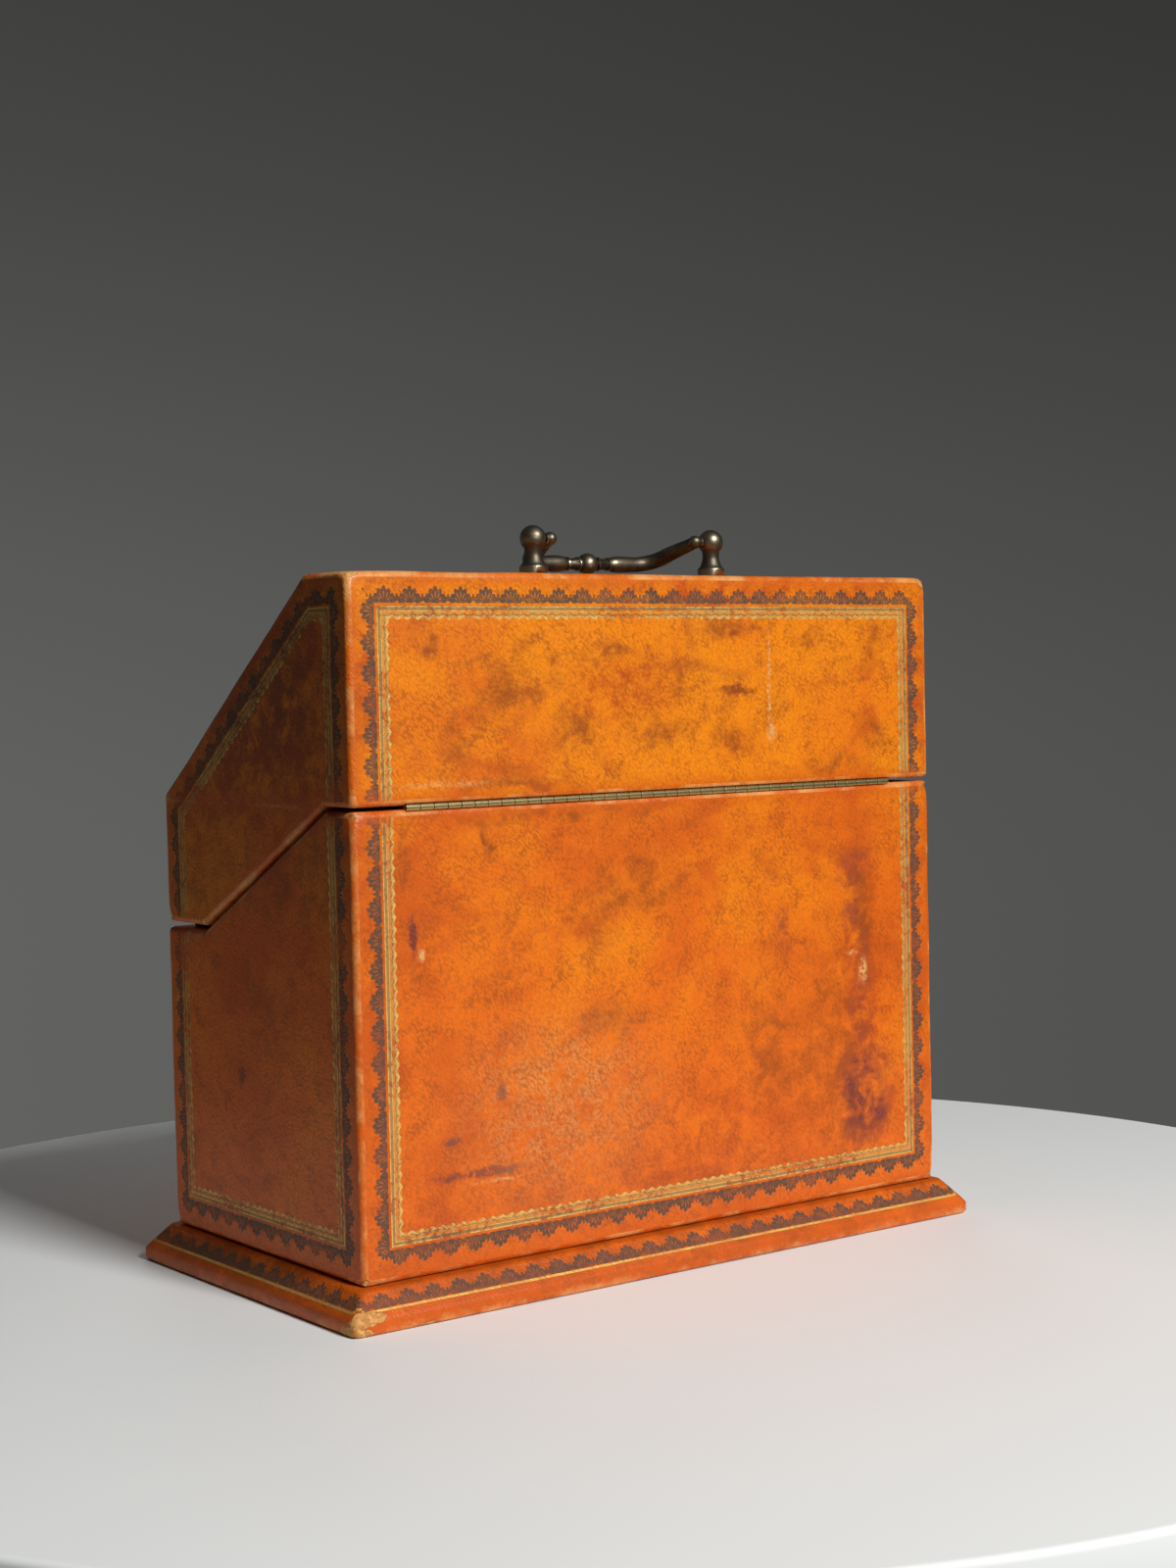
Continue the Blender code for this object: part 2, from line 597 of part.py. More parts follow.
def post_profile():
    """A ball on a waisted neck over a flange, with a stud below."""
    profile = [(0, -POST_STUD_LENGTH), (POST_STUD_RADIUS, -POST_STUD_LENGTH), (POST_STUD_RADIUS, SEAT_GAP),
               (POST_FLANGE_RADIUS, SEAT_GAP), (POST_FLANGE_RADIUS, POST_FLANGE_HEIGHT - POST_FLANGE_EASE),
               (POST_FLANGE_RADIUS - POST_FLANGE_EASE, POST_FLANGE_HEIGHT)]
    rise = POST_NECK_HEIGHT - POST_FLANGE_HEIGHT
    for step in range(1, NECK_STEPS + 1):
        share = step / NECK_STEPS
        flare = POST_FLARE_SHARE * (1 - share) ** POST_FLARE_CURVE
        radius = POST_NECK_RADIUS + (POST_FLANGE_RADIUS - POST_NECK_RADIUS) * flare
        profile.append((radius, POST_FLANGE_HEIGHT + rise * share))
    ball_start = asin(POST_NECK_RADIUS * POST_COVE_SHARE / POST_BALL_RADIUS)
    for step in range(BALL_STEPS + 1):
        angle = ball_start + (pi - ball_start) * step / BALL_STEPS
        radius = POST_BALL_RADIUS * sin(angle) if step < BALL_STEPS else 0
        profile.append((radius, POST_BALL_HEIGHT - POST_BALL_RADIUS * cos(angle)))
    return profile


def nut_outline(radius):
    return [(radius * cos(i * pi / 3), radius * sin(i * pi / 3)) for i in range(6)]


def make_posts(leather, top_board):
    pocket_base = LID_TOP - WALL
    pocket_top = pocket_base + NUT_POCKET_DEPTH
    hole = POST_STUD_RADIUS + STUD_PLAY
    for side, sign in (("left", -1), ("right", 1)):
        x = sign * POST_SPREAD / 2
        post = lathe(f"handle_post_{side}", post_profile(), (x, POST_Y, LID_TOP), "bronze")
        ends = sorted((x - sign * (POST_BALL_RADIUS + OVERRUN), x - sign * socket_floor()))
        boolean(post, rods(f"cut_socket_{side}", [(0, POST_Y, BAIL_Z)], BAIL_PIN_RADIUS + BAIL_PIN_PLAY,
                           *ends, None, "X"))
        bore = rods(f"cut_stud_{side}", [(x, POST_Y, LID_TOP)], hole, -WALL - OVERRUN, OVERRUN, None)
        pocket = rods(f"cut_pocket_{side}", [(x, POST_Y, 0)], NUT_RADIUS + STUD_PLAY,
                      pocket_base - OVERRUN, pocket_top, None, "Z", TURNED_STEPS)
        boolean(leather, bore)
        boolean(top_board, bore)
        boolean(top_board, pocket)
        washer_top = pocket_top - SEAT_GAP
        washer_base = washer_top - WASHER_THICKNESS
        washer = rods(f"handle_washer_{side}", [(x, POST_Y, 0)], NUT_RADIUS, washer_base, washer_top,
                      "steel", "Z", TURNED_STEPS)
        boolean(washer, bore)
        nut_top = washer_base - SEAT_GAP / 2
        points = [(x + px, POST_Y + py, nut_top - NUT_THICKNESS) for px, py in nut_outline(NUT_RADIUS)]
        nut = add(f"handle_nut_{side}", extrude(points, (0, 0, 1), NUT_THICKNESS), "steel")
        boolean(nut, bore)


def socket_floor():
    """How far from a ball's middle its socket for the bail's pin ends."""
    return POST_BALL_RADIUS - BAIL_PIN_LENGTH - SEAT_GAP


def grip_profile():
    """The turned grip from its middle outwards, as (distance, radius)."""
    cut = asin(BAIL_WAIST_RADIUS / BAIL_BALL_RADIUS)
    profile = []
    for step in range(BAIL_BALL_STEPS + 1):
        angle = pi / 2 + (cut - pi / 2) * step / BAIL_BALL_STEPS
        profile.append((BAIL_BALL_RADIUS * cos(angle), BAIL_BALL_RADIUS * sin(angle)))
    half = BAIL_RING / 2
    profile += [(BAIL_COLLET_PLACE - half, BAIL_WAIST_RADIUS), (BAIL_COLLET_PLACE - half, BAIL_COLLET_RADIUS),
                (BAIL_COLLET_PLACE + half, BAIL_COLLET_RADIUS), (BAIL_COLLET_PLACE + half, BAIL_CONE_RADIUS),
                (BAIL_RING_PLACE - half, BAIL_WAIST_RADIUS), (BAIL_RING_PLACE - half, BAIL_RING_RADIUS),
                (BAIL_RING_PLACE + half, BAIL_RING_RADIUS), (BAIL_RING_PLACE + half, BAIL_GRIP_NECK)]
    start = BAIL_RING_PLACE + half
    for step in range(1, BAIL_GRIP_STEPS + 1):
        share = step / BAIL_GRIP_STEPS
        taper = BAIL_GRIP_NECK + (BAIL_BEND_RADIUS - BAIL_GRIP_NECK) * share
        swell = BAIL_SWELL_RADIUS - (BAIL_GRIP_NECK + BAIL_BEND_RADIUS) / 2
        swell *= sin(pi * share ** BAIL_SWELL_SKEW)
        profile.append((start + (grip_end() - start) * share, taper + swell))
    return profile


def arm_x():
    """Where the bail's arms hang, out from its middle."""
    return collar_face() - BAIL_COLLAR - (BAIL_KNUCKLE_RADIUS ** 2 - BAIL_KNUCKLE_NECK ** 2) ** 0.5


def collar_face():
    """The collar's outer face, a running gap inside the ball."""
    return POST_SPREAD / 2 - POST_BALL_RADIUS - SEAT_GAP


def grip_end():
    return arm_x() - BAIL_SPLAY - BAIL_CORNER_RADIUS


def bail_half():
    """Points of (x, reach, radius) from the grip's middle to the knuckle on one side."""
    points = [(x, BAIL_REACH, radius) for x, radius in grip_profile()]
    for step in range(1, BAIL_CORNER_STEPS + 1):
        angle = pi / 2 * step / BAIL_CORNER_STEPS
        points.append((grip_end() + BAIL_CORNER_RADIUS * sin(angle),
                       BAIL_REACH - BAIL_CORNER_RADIUS * (1 - cos(angle)), BAIL_BEND_RADIUS))
    reach = BAIL_REACH - BAIL_CORNER_RADIUS
    for step in range(1, BAIL_ARM_STEPS + 1):
        share = step / BAIL_ARM_STEPS
        ease = (1 - cos(pi * share)) / 2
        radius = BAIL_BEND_RADIUS + (BAIL_ARM_RADIUS - BAIL_BEND_RADIUS) * share
        points.append((arm_x() - BAIL_SPLAY * (1 - ease), reach * (1 - share), radius))
    return points


def make_bail():
    half = bail_half()
    path = [(-x, reach, radius) for x, reach, radius in reversed(half[1:])] + half
    bm = bmesh.new()
    rings = []
    for i, (x, reach, radius) in enumerate(path):
        before = path[max(i - 1, 0)]
        after = path[min(i + 1, len(path) - 1)]
        along = Vector((after[0] - before[0], before[1] - after[1], 0)).normalized()
        across = along.cross(Vector((0, 0, 1)))
        middle = Vector((x, -reach, 0))
        ring = []
        for side in range(BAIL_SIDES):
            angle = 2 * pi * side / BAIL_SIDES
            ring.append(bm.verts.new(middle + across * radius * cos(angle) + Vector((0, 0, radius * sin(angle)))))
        rings.append(ring)
    for low, high in zip(rings, rings[1:]):
        for i in range(BAIL_SIDES):
            j = (i + 1) % BAIL_SIDES
            bm.faces.new((low[i], low[j], high[j], high[i]))
    bm.faces.new(rings[0])
    bm.faces.new(rings[-1])
    bail = add("bail_handle", bm, "bronze")
    for side, sign in (("left", -1), ("right", 1)):
        end = turned_end(side, sign)
        end.parent = bail
        boolean(bail, end, "UNION")
    bail.location = (0, POST_Y, BAIL_Z)
    bail.rotation_euler = (BAIL_DROOP, 0, 0)


def turned_end(side, sign):
    """The bail's knuckle ball, collar and pivot pin, turned on the joint's axis."""
    knuckle_x = arm_x()
    face = collar_face()
    pin_end = POST_SPREAD / 2 - socket_floor() - SEAT_GAP
    cut = asin(BAIL_KNUCKLE_NECK / BAIL_KNUCKLE_RADIUS)
    profile = []
    for step in range(BALL_STEPS + 1):
        angle = (pi - cut) * step / BALL_STEPS
        radius = BAIL_KNUCKLE_RADIUS * sin(angle) if step else 0
        profile.append((radius, knuckle_x - BAIL_KNUCKLE_RADIUS * cos(angle)))
    profile += [(BAIL_COLLAR_RADIUS, face - BAIL_COLLAR), (BAIL_COLLAR_RADIUS, face),
                (BAIL_PIN_RADIUS, face), (BAIL_PIN_RADIUS, pin_end), (0, pin_end)]
    return lathe(f"cut_bail_end_{side}", [(r, sign * z) for r, z in profile], (0, 0, 0), None,
                 TURNED_STEPS, "X")


def main():
    clear_scene()
    make_plinth()
    make_body_boards()
    body_leather = make_body_leather()
    make_body_lining()
    make_dividers()
    boards = make_lid_boards()
    lid_leather = make_lid_leather()
    make_lid_lining()
    back_board = bpy.data.objects["body_back_board"]
    make_hinge((body_leather, back_board), (lid_leather, boards["lid_back_board"]))
    make_posts(lid_leather, boards["lid_top_board"])
    make_bail()


main()
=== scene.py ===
"""Dress the stationery box: tooled calf, silk lining, rolled brass hinge and bronzed handle.

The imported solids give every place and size. Lengths are in metres, and patterns in millimetres.
"""
from math import pi, radians

import bmesh
import bpy
from bpy.props import FloatProperty, FloatVectorProperty, PointerProperty
from mathutils import Matrix, Vector, noise


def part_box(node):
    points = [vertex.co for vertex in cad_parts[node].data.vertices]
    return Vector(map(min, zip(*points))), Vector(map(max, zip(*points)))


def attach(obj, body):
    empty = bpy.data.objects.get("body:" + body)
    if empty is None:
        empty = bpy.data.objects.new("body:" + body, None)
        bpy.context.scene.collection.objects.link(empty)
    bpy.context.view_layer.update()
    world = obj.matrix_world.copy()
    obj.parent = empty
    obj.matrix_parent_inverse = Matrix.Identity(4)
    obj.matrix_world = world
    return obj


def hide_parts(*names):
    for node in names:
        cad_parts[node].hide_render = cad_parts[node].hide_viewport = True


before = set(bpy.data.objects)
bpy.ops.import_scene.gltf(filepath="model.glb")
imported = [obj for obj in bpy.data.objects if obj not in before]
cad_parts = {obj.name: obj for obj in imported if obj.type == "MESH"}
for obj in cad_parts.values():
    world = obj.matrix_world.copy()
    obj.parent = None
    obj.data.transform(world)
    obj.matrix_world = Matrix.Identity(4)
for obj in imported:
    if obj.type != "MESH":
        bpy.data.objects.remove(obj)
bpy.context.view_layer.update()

bl_info = {
    "name": "Stationery Box",
    "version": (1, 0, 0),
    "blender": (4, 5, 0),
    "location": "3D View > Sidebar > Stationery Box",
    "description": "Dresses a leather stationery box in its finishes",
    "category": "Object",
}

MM = 0.001

# UV maps of the covers, in millimetres: along and in from the border, and from the rim and the corner.
BORDER_MAP = "Border"
EDGE_MAP = "Edges"
FAR_FROM_BORDER = 60.0
NARROW_SHIFT = 7.0

# Working on the meshes.
MERGE = 0.001 * MM
FLAT_ANGLE = radians(0.5)
SHARP_ANGLE = radians(50)
SAME_WAY = 0.999
ON_PANEL = 0.1 * MM
OUTER_SKIN = 0.8 * MM
RIM_CUTS = (1.8 * MM, 3.0 * MM, 4.4 * MM)
SEAM_GAP_FRONT = 1.8 * MM
SEAM_GAP_BACK = 1.3 * MM
CHAMFER_TILT = (0.3, 0.9)
PLINTH_RIM = (0.45, 0.6)

# The stage.
TABLE_SIDES = 256
TABLE_THICKNESS = 18 * MM
TABLE_EASE = 2 * MM
LAMP_AIM = (0, 0, 0.11)
FILM = 36.0
PALER_SIDE = (0.8, -0.6, 0.0)
WALL_FADE = (0.32, -0.10)
WALL_SPREAD = 0.45


def colour_setting(name, description, default):
    return FloatVectorProperty(name=name, description=description, subtype="COLOR", size=3,
                               min=0, max=1, default=default)


def length_setting(name, description, default):
    return FloatProperty(name=name, description=description, subtype="DISTANCE", unit="LENGTH",
                         min=0, precision=5, default=default)


def place_setting(name, description, default):
    return FloatVectorProperty(name=name, description=description, subtype="TRANSLATION", default=default)


def power_setting(name, description, default):
    return FloatProperty(name=name, description=description, subtype="POWER", min=0, default=default)


class LeatherLook(bpy.types.PropertyGroup):
    """Calf covers: their outline, wear and colours."""

    flat_top: length_setting("Flat top", "Depth of the lid's level top", 25.8 * MM)
    seam_back: length_setting("Seam at the back", "Level run of the seam from the back", 16.5 * MM)
    seam_front: length_setting("Seam at the front", "Level run of the seam from the front", 25.4 * MM)
    lid_front: length_setting("Lid front", "Height of the lid's front panel", 43.0 * MM)
    chamfer_rise: length_setting("Chamfer", "Height of the plinth's tooled chamfer", 6.1 * MM)
    grid: length_setting("Grid", "Spacing of the cuts that let the panels lie uneven", 5.0 * MM)
    swell: length_setting("Swell", "Height of the slow waves in the panels", 0.22 * MM)
    swell_width: length_setting("Swell width", "Width of the slow waves", 23 * MM)
    ripple_width: length_setting("Ripple width", "Width of the short ripples", 6.5 * MM)
    hinge_clear: length_setting("Hinge room", "How near the hinge the covers stay true", 9.0 * MM)
    ripple: length_setting("Ripple", "Height of the short ripples in the panels", 0.06 * MM)
    knock: length_setting("Knock", "How far knocks have pushed the corners in", 1.3 * MM)
    knock_reach: length_setting("Knock reach", "How far from a corner its knock is felt", 7.0 * MM)
    # Amber also carries painted light: the body's back grows paler towards its top.
    amber: colour_setting("Amber", "Palest calf, where hands have kept it clean", (0.88, 0.245, 0.001))
    orange: colour_setting("Orange", "Most of the calf", (0.77, 0.145, 0.004))
    # Russet also paints shade over the lid's +X side.
    russet: colour_setting("Russet", "Redder, darker calf", (0.58, 0.088, 0.003))
    # Umber also paints shade: shadow along the seam, and the +X sides darkened.
    umber: colour_setting("Umber", "Stains and smudges", (0.30, 0.062, 0.005))
    # Plum also tints the lower body faintly, darker and greyer towards the bottom.
    plum: colour_setting("Plum", "Old ink stains", (0.17, 0.030, 0.030))
    # Also painted sheen: pale patches on the rims, a streak at the lid's lower edge and a patch low on the
    # body's back.
    worn_and_sheen: colour_setting("Worn", "Rubbed leather, bare of its dye", (0.82, 0.42, 0.14))
    bare: colour_setting("Bare", "Torn leather at knocked corners", (0.74, 0.40, 0.12))
    # Tooling also paints the shadow beside the gold wave.
    tooling: colour_setting("Tooling", "Dark impressions of the hot tools", (0.075, 0.054, 0.036))
    gold: colour_setting("Gold", "Gold leaf left in the impressions", (0.82, 0.50, 0.13))


class LiningLook(bpy.types.PropertyGroup):
    """Silk lining, dividers and base felt."""

    silk: colour_setting("Silk", "Lining and dividers", (0.64, 0.52, 0.33))
    silk_shade: colour_setting("Silk shade", "Darker bands of the watered silk", (0.53, 0.42, 0.25))
    felt: colour_setting("Felt", "Pad under the plinth", (0.05, 0.09, 0.06))
    wood: colour_setting("Wood", "Boards under the leather", (0.55, 0.38, 0.22))
    wood_grain: colour_setting("Wood grain", "Late wood in the boards", (0.36, 0.21, 0.10))
    soft_edge: length_setting("Soft edge", "Rounding of the silk-covered cards", 0.35 * MM)
    lip: length_setting("Lip", "How far the front lining stands up into the seam", 2.7 * MM)


class MetalLook(bpy.types.PropertyGroup):
    """Brass hinge and bronzed handle."""

    brass: colour_setting("Brass", "Rolled hinge", (0.50, 0.40, 0.18))
    tarnish: colour_setting("Tarnish", "Dull brown of old brass", (0.10, 0.078, 0.040))
    bronze: colour_setting("Bronze", "Dark bronzing of the handle", (0.115, 0.095, 0.068))
    rubbed: colour_setting("Rubbed bronze", "Brass that shows where hands have rubbed", (0.36, 0.30, 0.20))
    steel: colour_setting("Steel", "Nuts and washers", (0.45, 0.44, 0.42))
    knuckle_ease: length_setting("Knuckle ease", "Rounding of the knuckles' ends", 0.16 * MM)


class StageLook(bpy.types.PropertyGroup):
    """Table, backdrop, lights and camera."""

    table: colour_setting("Table", "Pale floor under the box", (0.86, 0.875, 0.86))
    backdrop: colour_setting("Backdrop", "Plain wall behind the box", (0.104, 0.104, 0.101))
    backdrop_top: colour_setting("Backdrop top", "The same wall higher up", (0.042, 0.042, 0.041))
    table_radius: length_setting("Table radius", "Radius of the round floor", 0.318)
    table_middle: place_setting("Table middle", "Where the round floor's middle lies", (0.0056, 0.0142, 0.0))
    key_place: place_setting("Key place", "Where the large soft lamp hangs", (-0.12, 2.27, 1.60))
    key_size: length_setting("Key size", "Width of the large soft lamp", 0.62)
    key_power: power_setting("Key light", "Power of the large soft lamp", 81.0)
    fill_place: place_setting("Fill place", "Where the front's low lamps stand", (-0.85, -1.70, 0.50))
    fill_size: length_setting("Fill size", "Width of the front's low lamp", 0.9)
    fill_power: power_setting("Fill light", "Power of the front's low lamp", 8.0)
    gleam_power: power_setting("Gleam", "Power of the front's lamp that shows as gloss", 1.2)
    sky: FloatProperty(name="Room light", description="Strength of the even light all round", min=0,
                       default=0.028)
    camera_place: place_setting("Camera", "Where the photograph was taken from", (0.49505, 0.67854, 0.19193))
    camera_turn: FloatVectorProperty(name="Camera turn", description="The way the camera faced",
                                     subtype="EULER",
                                     default=(radians(87.663), radians(1.2175), radians(143.102)))
    lens: FloatProperty(name="Lens", description="Focal length on a 36 mm tall picture", unit="CAMERA",
                        default=55.59)


class BoxLook(bpy.types.PropertyGroup):
    """Everything that can be set on the box."""

    leather: PointerProperty(type=LeatherLook)
    lining: PointerProperty(type=LiningLook)
    metal: PointerProperty(type=MetalLook)
    stage: PointerProperty(type=StageLook)


class Socket:
    """One output of a material's nodes. Arithmetic on it adds Math nodes, node() adds any other kind."""

    def __init__(self, tree, socket=None):
        self.tree = tree
        self.socket = socket

    def node(self, kind, sockets=None, output=0, **settings):
        made = self.tree.nodes.new(kind)
        for name, value in settings.items():
            setattr(made, name, value)
        for name, value in (sockets or {}).items():
            if isinstance(value, Socket):
                self.tree.links.new(value.socket, made.inputs[name])
            else:
                made.inputs[name].default_value = value
        return Socket(self.tree, made.outputs[output])

    def other(self, output):
        """Another output of the same node."""
        return Socket(self.tree, self.socket.node.outputs[output])

    def maths(self, operation, *others):
        return self.node("ShaderNodeMath", dict(enumerate((self, *others))), operation=operation)

    def __add__(self, other):
        return self.maths("ADD", other)

    def __sub__(self, other):
        return self.maths("SUBTRACT", other)

    def __rsub__(self, other):
        return self.node("ShaderNodeMath", {0: other, 1: self}, operation="SUBTRACT")

    def __mul__(self, other):
        return self.maths("MULTIPLY", other)

    def __truediv__(self, other):
        return self.maths("DIVIDE", other)

    def __pow__(self, other):
        return self.maths("POWER", other)

    def __abs__(self):
        return self.maths("ABSOLUTE")

    __radd__ = __add__
    __rmul__ = __mul__

    def ease(self, low, high):
        """0 below low and 1 above high, smoothly. It falls where low is over high."""
        return self.node("ShaderNodeMapRange", {"Value": self, "From Min": low, "From Max": high},
                         interpolation_type="SMOOTHSTEP")

    def most(self, other):
        return self.maths("MAXIMUM", other)

    def tint(self, under, over):
        """The colour under, with the colour over where this mask is 1."""
        pair = [(*c, 1) if isinstance(c, (tuple, list, Vector)) else c for c in (under, over)]
        return self.node("ShaderNodeMix", {0: self, 6: pair[0], 7: pair[1]}, 2, data_type="RGBA")

    def scaled(self, amount):
        return self.node("ShaderNodeVectorMath", {0: self, "Scale": amount}, operation="SCALE")

    def stretched(self, amounts):
        return self.node("ShaderNodeVectorMath", {0: self, 1: amounts}, operation="MULTIPLY")

    def clouds(self, size, detail=4.0, distortion=0.0, roughness=0.55):
        """Noise whose clouds are about size millimetres across."""
        return self.node("ShaderNodeTexNoise", {"Vector": self, "Scale": 1 / size, "Detail": detail,
                                                "Roughness": roughness, "Distortion": distortion})

    def shaken(self, size, amount):
        """These coordinates pushed about by noise, for marks without a clean outline."""
        push = self.clouds(size, 3.0).other("Color")
        push = push.node("ShaderNodeVectorMath", {0: push, 1: (0.5, 0.5, 0.5)}, operation="SUBTRACT")
        return push.node("ShaderNodeVectorMath", {0: push.scaled(amount), 1: self}, operation="ADD")

    def cells(self, size, feature="F1"):
        """Distances to scattered points about size millimetres apart."""
        return self.node("ShaderNodeTexVoronoi", {"Vector": self, "Scale": 1 / size}, feature=feature)


def colour(value):
    return tuple(value)


def material(name, constants):
    """A new material with its Principled shader's constants set, and a bench to build its nodes on."""
    made = bpy.data.materials.new(name)
    made.use_nodes = True
    shader = made.node_tree.nodes["Principled BSDF"]
    for socket, value in constants.items():
        shader.inputs[socket].default_value = value
    return made, Socket(made.node_tree), shader


def plug(shader, **links):
    """Link sockets of the shader, whose names are written with _ for a space."""
    for name, value in links.items():
        socket = shader.inputs[name.replace("_", " ")]
        value.tree.links.new(value.socket, socket)


def bumped(height):
    """A normal from a height in millimetres."""
    return height.node("ShaderNodeBump", {"Height": height, "Distance": MM, "Strength": 1.0})


def place_in_mm(bench):
    return bench.node("ShaderNodeTexCoord", output="Object").scaled(1 / MM)


# The tooled borders: sizes of the rolls, and places in from the panel's edge, in millimetres.
ROLL_PITCH = 9.3
ROLL_BASE = 9.6
FAN = (4.1, 5.05)
PETALS = 3.5
SCROLL = (3.1, 1.0)
BUD = (0.42, 1.3)
BUD_RISE = 1.6
FILLETS = (10.65, 11.95)
WAVE_PITCH = ROLL_PITCH / 2.5
WAVE_TOP = 13.25
WAVE_RISE = 0.95
CURL_PLACE = (0.35, 13.55)
CURL_SIZE = (0.75, 0.4)
PLINTH_LINE = 10.2
CHAMFER_TOP = 4.3
# Height in millimetres about which the body's painted top light pales the calf above and deepens it below.
TOP_LIGHT_MID_HEIGHT = 90.0


def palmettes(across, inwards):
    """The dark palmette roll: lobed fans on scrolled feet, with a bud between two fans."""
    x = abs((across / ROLL_PITCH).maths("FRACT") - 0.5) * ROLL_PITCH
    y = ROLL_BASE - inwards
    low = y + 0.2
    turn = x.maths("ARCTAN2", low) * (2 / pi)
    reach = ((x / FAN[0]) ** 2 + (low / FAN[1]) ** 2).maths("SQRT")
    side = abs((turn * PETALS + 0.5).maths("FRACT") - 0.5) * 2
    lobes = 1.02 - side * side * 0.24 + (1 - turn) ** 4 * 0.05
    fan = (lobes - reach).ease(-0.03, 0.05)
    along = bounded((reach - 0.2) / 0.62)
    width = (along * pi).maths("SINE") * 0.56 - 0.07
    petal = (width - side).ease(-0.05, 0.1)
    ring = ((x - SCROLL[0]) ** 2 + (y - SCROLL[1]) ** 2).maths("SQRT")
    foot = ring.ease(1.25, 1.08) * ring.ease(0.42, 0.56)
    bud = ((x - ROLL_PITCH / 2) / BUD[0]) ** 2 + ((y - BUD_RISE) / BUD[1]) ** 2
    bud = bud.maths("SQRT").ease(1.1, 0.8)
    return (fan * (1 - petal * 0.5)).most(foot).most(bud) * y.ease(-0.1, 0.1)


def bounded(value):
    return value.node("ShaderNodeClamp", {"Value": value})


def fillets(inwards):
    """Two thin gold lines, and the dark channel between them."""
    outer, inner = FILLETS
    lines = abs(inwards - outer).ease(0.27, 0.17).most(abs(inwards - inner).ease(0.24, 0.15))
    return lines, abs(inwards - (outer + inner) / 2).ease(0.52, 0.38)


def gold_wave(across, inwards):
    """A running gold wave with a shadow on its outer side."""
    phase = (across / WAVE_PITCH).maths("FRACT")
    arch = (phase * pi).maths("SINE")
    away = inwards - arch * WAVE_RISE - WAVE_TOP
    thick = arch * arch * 0.36 + 0.19
    gold = (thick - abs(away)).ease(-0.05, 0.06)
    curl_x = (phase - CURL_PLACE[0]) * (WAVE_PITCH / CURL_SIZE[0])
    curl_y = (inwards - CURL_PLACE[1]) / CURL_SIZE[1]
    curl = (curl_x ** 2 + curl_y ** 2).maths("SQRT")
    gold = gold.most(abs(curl - 0.6).ease(0.34, 0.2))
    shadow = (thick + 0.26 - abs(away + 0.27)).ease(-0.05, 0.1) * (1 - gold)
    return gold, shadow


def soft_mark(place, mark):
    """A soft mark: an ellipsoid round a centre."""
    centre, radii, strength = mark
    near = place.node("ShaderNodeVectorMath", {0: place, 1: centre}, operation="SUBTRACT")
    near = near.node("ShaderNodeVectorMath", {0: near, 1: radii}, operation="DIVIDE")
    far = near.node("ShaderNodeVectorMath", {0: near}, "Value", operation="LENGTH")
    return far.ease(1.25, 0.15) * strength


def marked(base, place, broken, marks, over):
    """A colour with marks of one other colour on it, broken up by noise round 0.5."""
    spots = None
    for mark in marks:
        spot = soft_mark(place, mark)
        spots = spot if spots is None else spots.most(spot)
    return base if spots is None else (spots * broken * 2).tint(base, over)


def full_roll(across, inwards, patches):
    """Dark and gold of the whole tooled border, as shares from 0 to 1."""
    lines, channel = fillets(inwards)
    wave, shadow = gold_wave(across, inwards)
    haze = inwards.ease(FILLETS[0] - 0.4, FILLETS[0]) * inwards.ease(WAVE_TOP + 1.3, WAVE_TOP + 0.7)
    gold = lines.most(wave).most(haze * 0.36) * patches
    # The dark share holds the tooled palmettes and channel, and the painted shadow beside the gold wave.
    dark = palmettes(across, inwards).most(channel * 0.9).most(shadow * 0.85)
    return dark.most(lines.most(wave) * 0.55), gold


def plinth_roll(across, inwards, patches):
    """Dark and gold of the plinth's border: the palmettes and one broader gold line."""
    line = abs(inwards - PLINTH_LINE).ease(0.52, 0.38)
    return palmettes(across, inwards).most(line * 0.5), line * (patches * 0.4 + 0.6)


